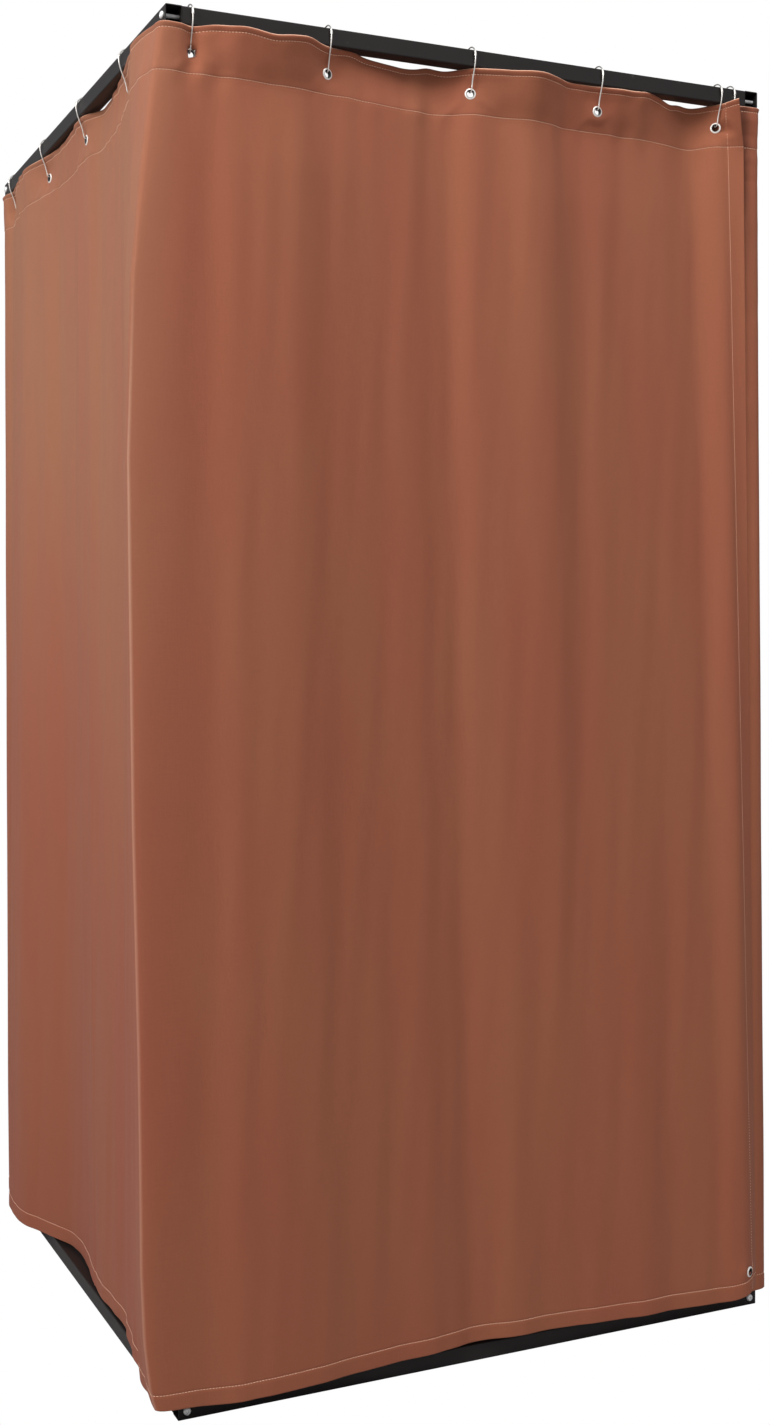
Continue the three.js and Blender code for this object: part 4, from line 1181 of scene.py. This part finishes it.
def hook_outline(metal):
    """Pear-shaped outline of a hook round the rail, in its own plane, and the clasp's short arc."""
    rail_clearance, below_top, toe_radius, neck = 0.00355, 0.0102, 0.0045, 0.0065
    arc_radius, arc_height = TUBE / 2 + metal.wire / 2 + rail_clearance, FRAME_TOP - below_top
    toe_height = HOOK_FOOT + metal.wire / 2 + toe_radius
    drop = arc_height - toe_height

    def leg(side):
        share = np.linspace(0, 1, 15)[:, None]
        knots = [np.array(knot) for knot in (
            (side * arc_radius, arc_height), (side * arc_radius, arc_height - 0.35 * drop),
            (side * neck, arc_height - 0.62 * drop), (side * toe_radius, toe_height))]
        return ((1 - share) ** 3 * knots[0] + 3 * (1 - share) ** 2 * share * knots[1]
                + 3 * (1 - share) * share ** 2 * knots[2] + share ** 3 * knots[3])

    def arc(radius, height, start, end, count):
        turns = np.radians(np.linspace(start, end, count))
        return np.stack([radius * np.cos(turns), height + radius * np.sin(turns)], axis=1)

    flat = np.concatenate([arc(arc_radius, arc_height, 0, 180, 29)[:-1], leg(-1)[:-1],
                           arc(toe_radius, toe_height, 180, 360, 13)[:-1], leg(1)[::-1][:-1]])
    for _ in range(2):
        flat = (np.roll(flat, 1, axis=0) + 2 * flat + np.roll(flat, -1, axis=0)) / 4
    clasp_turn, clasp_half = 168, 13
    sleeve = arc(arc_radius, arc_height, clasp_turn - clasp_half, clasp_turn + clasp_half, 7)

    def upright(points):
        return [(-across, 0.0, height) for across, height in points]

    return upright(flat), upright(sleeve)


def hook_helpers(metal):
    """A hook's outline and its clasp's run as lines, for the tree to sweep."""
    outline, sleeve = hook_outline(metal)
    ring = [(spot, (spot + 1) % len(outline)) for spot in range(len(outline))]
    run = [(spot, spot + 1) for spot in range(len(sleeve) - 1)]
    return plain_object("hook outline", outline, ring), plain_object("clasp run", sleeve, run)


def body_with(node):
    """The body that carries a node, as the record tells it."""
    bodies = frame["record"]["behaviour"]["bodies"]
    return next(body for body, nodes in bodies.items() if node in nodes)


ROOT = body_with("top_rail_front")
JOINT = next(joint for joint in frame["record"]["behaviour"]["joints"] if joint.get("deforming_nodes"))
FIXED_END = JOINT["deforming_nodes"][0]["fixed_end_x_m"]
TRAVEL = JOINT["range_m"][1]
LEAD_X = middle_of("hook_front_5")[0]
KEPT = 1 - TRAVEL / (LEAD_X - FIXED_END)


def draw_aside(piece):
    """Gives a front piece its own copy of its mesh."""
    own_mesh(piece)


def by_body(names):
    """Groups node names by the body that carries them."""
    groups = {}
    for name in names:
        groups.setdefault(body_with(name), []).append(name)
    return groups


# Operators, one for each piece or group of like pieces

# Sewn lines: how far in from a cut they begin, and the step between their points
SEW_MARGIN, SEW_STEP = 0.002, 0.003
# The height from which painted shade darkens the hooks, where they pass over the rails
PAINTED_SHADE_FROM = 1.970


class CoatFrame(bpy.types.Operator):
    """Gives the tubes of the frame their black powder coat"""
    bl_idname = "fitting_room.coat_frame"
    bl_label = "Coat the frame"

    def execute(self, context):
        coat = coat_material(context.scene.cabin_metal)
        for name, node in frame["nodes"].items():
            if "rail" in name or "post" in name:
                for entry in node.material_slots:
                    entry.material = coat
        return {"FINISHED"}


class FitBolts(bpy.types.Operator):
    """Fits the socket bolts that hold the rails together"""
    bl_idname = "fitting_room.fit_bolts"
    bl_label = "Fit the bolts"

    def execute(self, context):
        metal = context.scene.cabin_metal
        names = sorted(name for name in frame["nodes"] if "bolt" in name)
        points, facings = [], []
        for name in names:
            low, high = (np.array(end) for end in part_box(name))
            middle = (low + high) / 2
            axis = 0 if name.startswith("top") else 1
            way = math.copysign(1, middle[axis])
            facing = np.zeros(3)
            facing[axis] = way
            middle[axis] = (high if way > 0 else low)[axis] - way * metal.bolt_rise
            points.append(middle)
            facings.append(facing)
        pattern = bolt_pattern(metal)
        zinc = plated_material("zinc plate", (0.82, 0.82, 0.82), 0.32, 160.0, 0.45)
        bolts = grown_from("frame_bolts", helper_points("bolt seats", points, facings),
                           seated_tree("bolts on the rails"), {"Pattern": pattern, "Finish": zinc})
        bpy.data.objects.remove(pattern)
        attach(bolts, ROOT)
        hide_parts(*names)
        return {"FINISHED"}


class HangHooks(bpy.types.Operator):
    """Hangs the wire hooks on the rails, each group on its own body"""
    bl_idname = "fitting_room.hang_hooks"
    bl_label = "Hang the hooks"

    def execute(self, context):
        metal = context.scene.cabin_metal
        outline, sleeve = hook_helpers(metal)
        wire = plated_material("bright wire", (0.80, 0.76, 0.71), 0.22, 220.0, 0.65, painted_shade_from=PAINTED_SHADE_FROM)
        tree = hook_tree()
        names = sorted(name for name in frame["nodes"] if name.startswith("hook_"))
        for body, group in by_body(names).items():
            points, facings = [], []
            for name in group:
                middle = middle_of(name)
                side = name.split("_")[1]
                out = np.array([*SIDES[side][2], 0.0])
                axis = 0 if side in ("left", "right") else 1
                middle[axis] = math.copysign((HALF_WIDTH, HALF_DEPTH)[axis] - TUBE / 2, middle[axis])
                points.append((middle[0], middle[1], 0.0))
                facings.append(out)
            label = "hooks_fixed" if body == ROOT else group[0].replace("hook", "sliding_hook")
            hooks = grown_from(label, helper_points("hook seats", points, facings), tree, {
                "Outline": outline, "Sleeve": sleeve, "Wire": metal.wire, "Clasp": metal.clasp,
                "Sides": metal.wire_sides, "Finish": wire})
            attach(hooks, body)
            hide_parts(*group)
        for helper in (outline, sleeve):
            bpy.data.objects.remove(helper)
        return {"FINISHED"}


class PressEyelets(bpy.types.Operator):
    """Presses the metal eyelets into the header and the hem corner"""
    bl_idname = "fitting_room.press_eyelets"
    bl_label = "Press the eyelets"

    def execute(self, context):
        metal, canvas = context.scene.cabin_metal, context.scene.cabin_canvas
        pattern = eyelet_pattern(metal, canvas)
        nickel = plated_material("nickel plate", (0.82, 0.775, 0.73), 0.34, 200.0, 0.3)
        tree = seated_tree("eyelets in the cloth")
        groups = {}
        for name, seat in SEATS.items():
            node = HEM_NODE if name == "hem_corner" else f"eyelet_{name}"
            known = node in frame["nodes"]
            body = body_with(node) if known else ROOT
            groups.setdefault(body, []).append((seat, node if known else None))
        for body, seated in groups.items():
            points = [seat["middle"] for seat, _ in seated]
            facings = [seat["facing"] for seat, _ in seated]
            nodes = [node for _, node in seated if node]
            label = "eyelets_fixed" if body == ROOT else nodes[0].replace("eyelet", "sliding_eyelet")
            eyelets = grown_from(label, helper_points("eyelet seats", points, facings), tree,
                                 {"Pattern": pattern, "Finish": nickel})
            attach(eyelets, body)
            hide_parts(*nodes)
        bpy.data.objects.remove(pattern)
        return {"FINISHED"}


class HangCanvas(bpy.types.Operator):
    """Hangs the canvas round the frame and sews its header, hems and edges"""
    bl_idname = "fitting_room.hang_canvas"
    bl_label = "Hang the canvas"

    def execute(self, context):
        canvas = context.scene.cabin_canvas
        cloth, thread = canvas_material(canvas), thread_material(canvas)
        tree = stitch_tree()
        for name in PANELS:
            panel = cloth_panel(name, canvas, cloth)
            stitches = self.sew(name, canvas, tree, thread)
            for piece in (panel, stitches):
                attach(piece, ROOT)
                if name == "front":
                    draw_aside(piece)
            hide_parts(f"curtain_{name}")
            low, high = panel_span(name)
            hooks = [f"hook_{hook}" for hook, seat in SEATS.items()
                     if low < seat["s"] < high and hook != "hem_corner"]
            high - low
        return {"FINISHED"}

    def sew(self, name, canvas, tree, thread):
        """Every sewn line of one panel."""
        low, high = panel_span(name)
        runs = []
        for drop in (canvas.rolled_edge, canvas.header, CLOTH_DROP - canvas.hem):
            along = np.arange(low + SEW_MARGIN, high - SEW_MARGIN, SEW_STEP)
            runs.append((along, np.full(len(along), drop)))
        for line in (canvas.side_hem, sheet.length - canvas.side_hem):
            if low < line < high:
                down = np.arange(SEW_STEP, CLOTH_DROP - SEW_STEP, SEW_STEP)
                runs.append((np.full(len(down), line), down))
        points, edges = [], []
        for along, down in runs:
            start = len(points)
            points += list(skin(along, down, canvas, canvas.thread * 0.2))
            edges += [(spot, spot + 1) for spot in range(start, len(points) - 1)]
        return grown_from(f"stitches_{name}", plain_object("sewn lines", points, edges), tree, {
            "Stitch": canvas.stitch, "Thread": canvas.thread, "Pitch": canvas.stitch_pitch, "Finish": thread})


# The camera that the photo was taken with, fitted to the corners of the frame
CAMERA_PLACE = (-1.2217, -2.7077, 1.1118)
CAMERA_YAW, CAMERA_PITCH, CAMERA_ROLL = (math.radians(turn) for turn in (23.45, -1.81, -0.38))
PHOTO_WIDE, PHOTO_HIGH = 770, 1425
FOCAL_PIXELS = 1660.7
OPTICAL_CENTRE = (327.0, 685.8)
# In millimetres
SENSOR = 36.0
FLOOR_REACH = 14.0


class SetStage(bpy.types.Operator):
    """Sets the floor, the soft studio lights and the camera"""
    bl_idname = "fitting_room.set_stage"
    bl_label = "Set the stage"

    def execute(self, context):
        stage = context.scene.cabin_stage
        self.floor(stage)
        self.surround(context, stage)
        self.lamp("key light", stage.key_power, (-3.8, -1.7, 3.5), (-0.2, -0.4, 1.6), 1.6)
        self.lamp("top light", stage.top_power, (-0.4, -1.9, 4.2), (0.0, -0.4, 1.3), 1.8)
        self.lamp("fill light", stage.fill_power, (1.8, -4.2, 2.3), (0.0, -0.3, 1.0), 2.4)
        self.lamp("side light", stage.side_power, (-4.3, 1.3, 3.2), (-0.5, 0.0, 1.4), 1.6)
        self.camera(context)
        context.scene.view_settings.view_transform = "Standard"
        return {"FINISHED"}

    def floor(self, stage):
        material, pen, surface, output = new_material("pale floor")
        cloud = pen.noise(pen.wave("ShaderNodeTexCoord", "Object"), 3.0, 3.0)
        pen.feed(surface.inputs["Base Color"], pen.blend(
            cloud, rgba(stage.floor_colour, 0.99), rgba(stage.floor_colour)))
        surface.inputs["Roughness"].default_value = 0.8
        rays = pen.add("ShaderNodeLightPath")
        glow = pen.add("ShaderNodeEmission", None, {"Color": WHITE, "Strength": 1.0})
        mixed = pen.add("ShaderNodeMixShader", None, {
            0: rays.outputs["Is Camera Ray"], 1: surface.outputs[0], 2: glow.outputs[0]})
        pen.feed(output.inputs["Surface"], mixed.outputs[0])
        corners = [(x * FLOOR_REACH, y * FLOOR_REACH, 0) for x, y in ((-1, -1), (1, -1), (1, 1), (-1, 1))]
        floor = plain_object("studio_floor", corners, faces=[(0, 1, 2, 3)])
        floor.data.materials.append(material)

    def surround(self, context, stage):
        world = bpy.data.worlds.new("pale surround")
        context.scene.world = world
        world.use_nodes = True
        world.node_tree.nodes.clear()
        pen = NodePen(world.node_tree)
        rays = pen.add("ShaderNodeLightPath")
        camera_ray = Wave(pen, rays.outputs["Is Camera Ray"])
        seen = camera_ray.reckon("MAXIMUM", camera_ray, rays.outputs["Is Transmission Ray"])
        soft = pen.add("ShaderNodeBackground", None, {
            "Color": (0.97, 0.98, 1.0, 1.0), "Strength": stage.sky})
        white = pen.add("ShaderNodeBackground", None, {"Color": WHITE, "Strength": 1.0})
        mixed = pen.add("ShaderNodeMixShader", None, {0: seen, 1: soft.outputs[0], 2: white.outputs[0]})
        pen.add("ShaderNodeOutputWorld", None, {"Surface": mixed.outputs[0]})

    def lamp(self, name, power, place, target, size):
        data = bpy.data.lights.new(name, "AREA")
        data.energy, data.size = power, size
        lamp = bpy.data.objects.new(name, data)
        lamp.location = place
        lamp.rotation_euler = (Vector(target) - Vector(place)).to_track_quat("-Z", "Y").to_euler()
        bpy.context.scene.collection.objects.link(lamp)

    def camera(self, context):
        data = bpy.data.cameras.new("photo camera")
        data.sensor_width, data.sensor_fit = SENSOR, "AUTO"
        data.lens = FOCAL_PIXELS / PHOTO_HIGH * SENSOR
        data.shift_x = (PHOTO_WIDE / 2 - OPTICAL_CENTRE[0]) / PHOTO_HIGH
        data.shift_y = (OPTICAL_CENTRE[1] - PHOTO_HIGH / 2) / PHOTO_HIGH
        data.clip_start, data.clip_end = 0.05, 60
        ahead = Vector((math.sin(CAMERA_YAW) * math.cos(CAMERA_PITCH),
                        math.cos(CAMERA_YAW) * math.cos(CAMERA_PITCH), math.sin(CAMERA_PITCH)))
        across = Vector((math.cos(CAMERA_YAW), -math.sin(CAMERA_YAW), 0))
        above = across.cross(ahead)
        right = math.cos(CAMERA_ROLL) * across + math.sin(CAMERA_ROLL) * above
        upward = math.cos(CAMERA_ROLL) * above - math.sin(CAMERA_ROLL) * across
        turn = Matrix((right, upward, -ahead)).transposed().to_4x4()
        camera = bpy.data.objects.new("photo camera", data)
        camera.matrix_world = Matrix.Translation(CAMERA_PLACE) @ turn
        context.scene.collection.objects.link(camera)
        context.scene.camera = camera


class FittingRoomPanel(bpy.types.Panel):
    """Lists the steps that dress the fitting room"""
    bl_idname = "VIEW3D_PT_fitting_room"
    bl_label = "Fitting room"
    bl_space_type = "VIEW_3D"
    bl_region_type = "UI"
    bl_category = "Fitting room"

    def draw(self, context):
        for step in STEPS:
            self.layout.operator(step.bl_idname)
        for settings in (context.scene.cabin_canvas, context.scene.cabin_metal, context.scene.cabin_stage):
            box = self.layout.box()
            for name in settings.__annotations__:
                box.prop(settings, name)


STEPS = (SetStage, CoatFrame, FitBolts, HangHooks, PressEyelets, HangCanvas)
CLASSES = (CanvasSettings, MetalSettings, StageSettings, *STEPS, FittingRoomPanel)


def register():
    for kind in CLASSES:
        bpy.utils.register_class(kind)
    bpy.types.Scene.cabin_canvas = PointerProperty(type=CanvasSettings)
    bpy.types.Scene.cabin_metal = PointerProperty(type=MetalSettings)
    bpy.types.Scene.cabin_stage = PointerProperty(type=StageSettings)


def unregister():
    del bpy.types.Scene.cabin_stage
    del bpy.types.Scene.cabin_metal
    del bpy.types.Scene.cabin_canvas
    for kind in reversed(CLASSES):
        bpy.utils.unregister_class(kind)


def main():
    register()
    for step in STEPS:
        group, name = step.bl_idname.split(".")
        getattr(getattr(bpy.ops, group), name)()


if __name__ == "__main__":
    main()
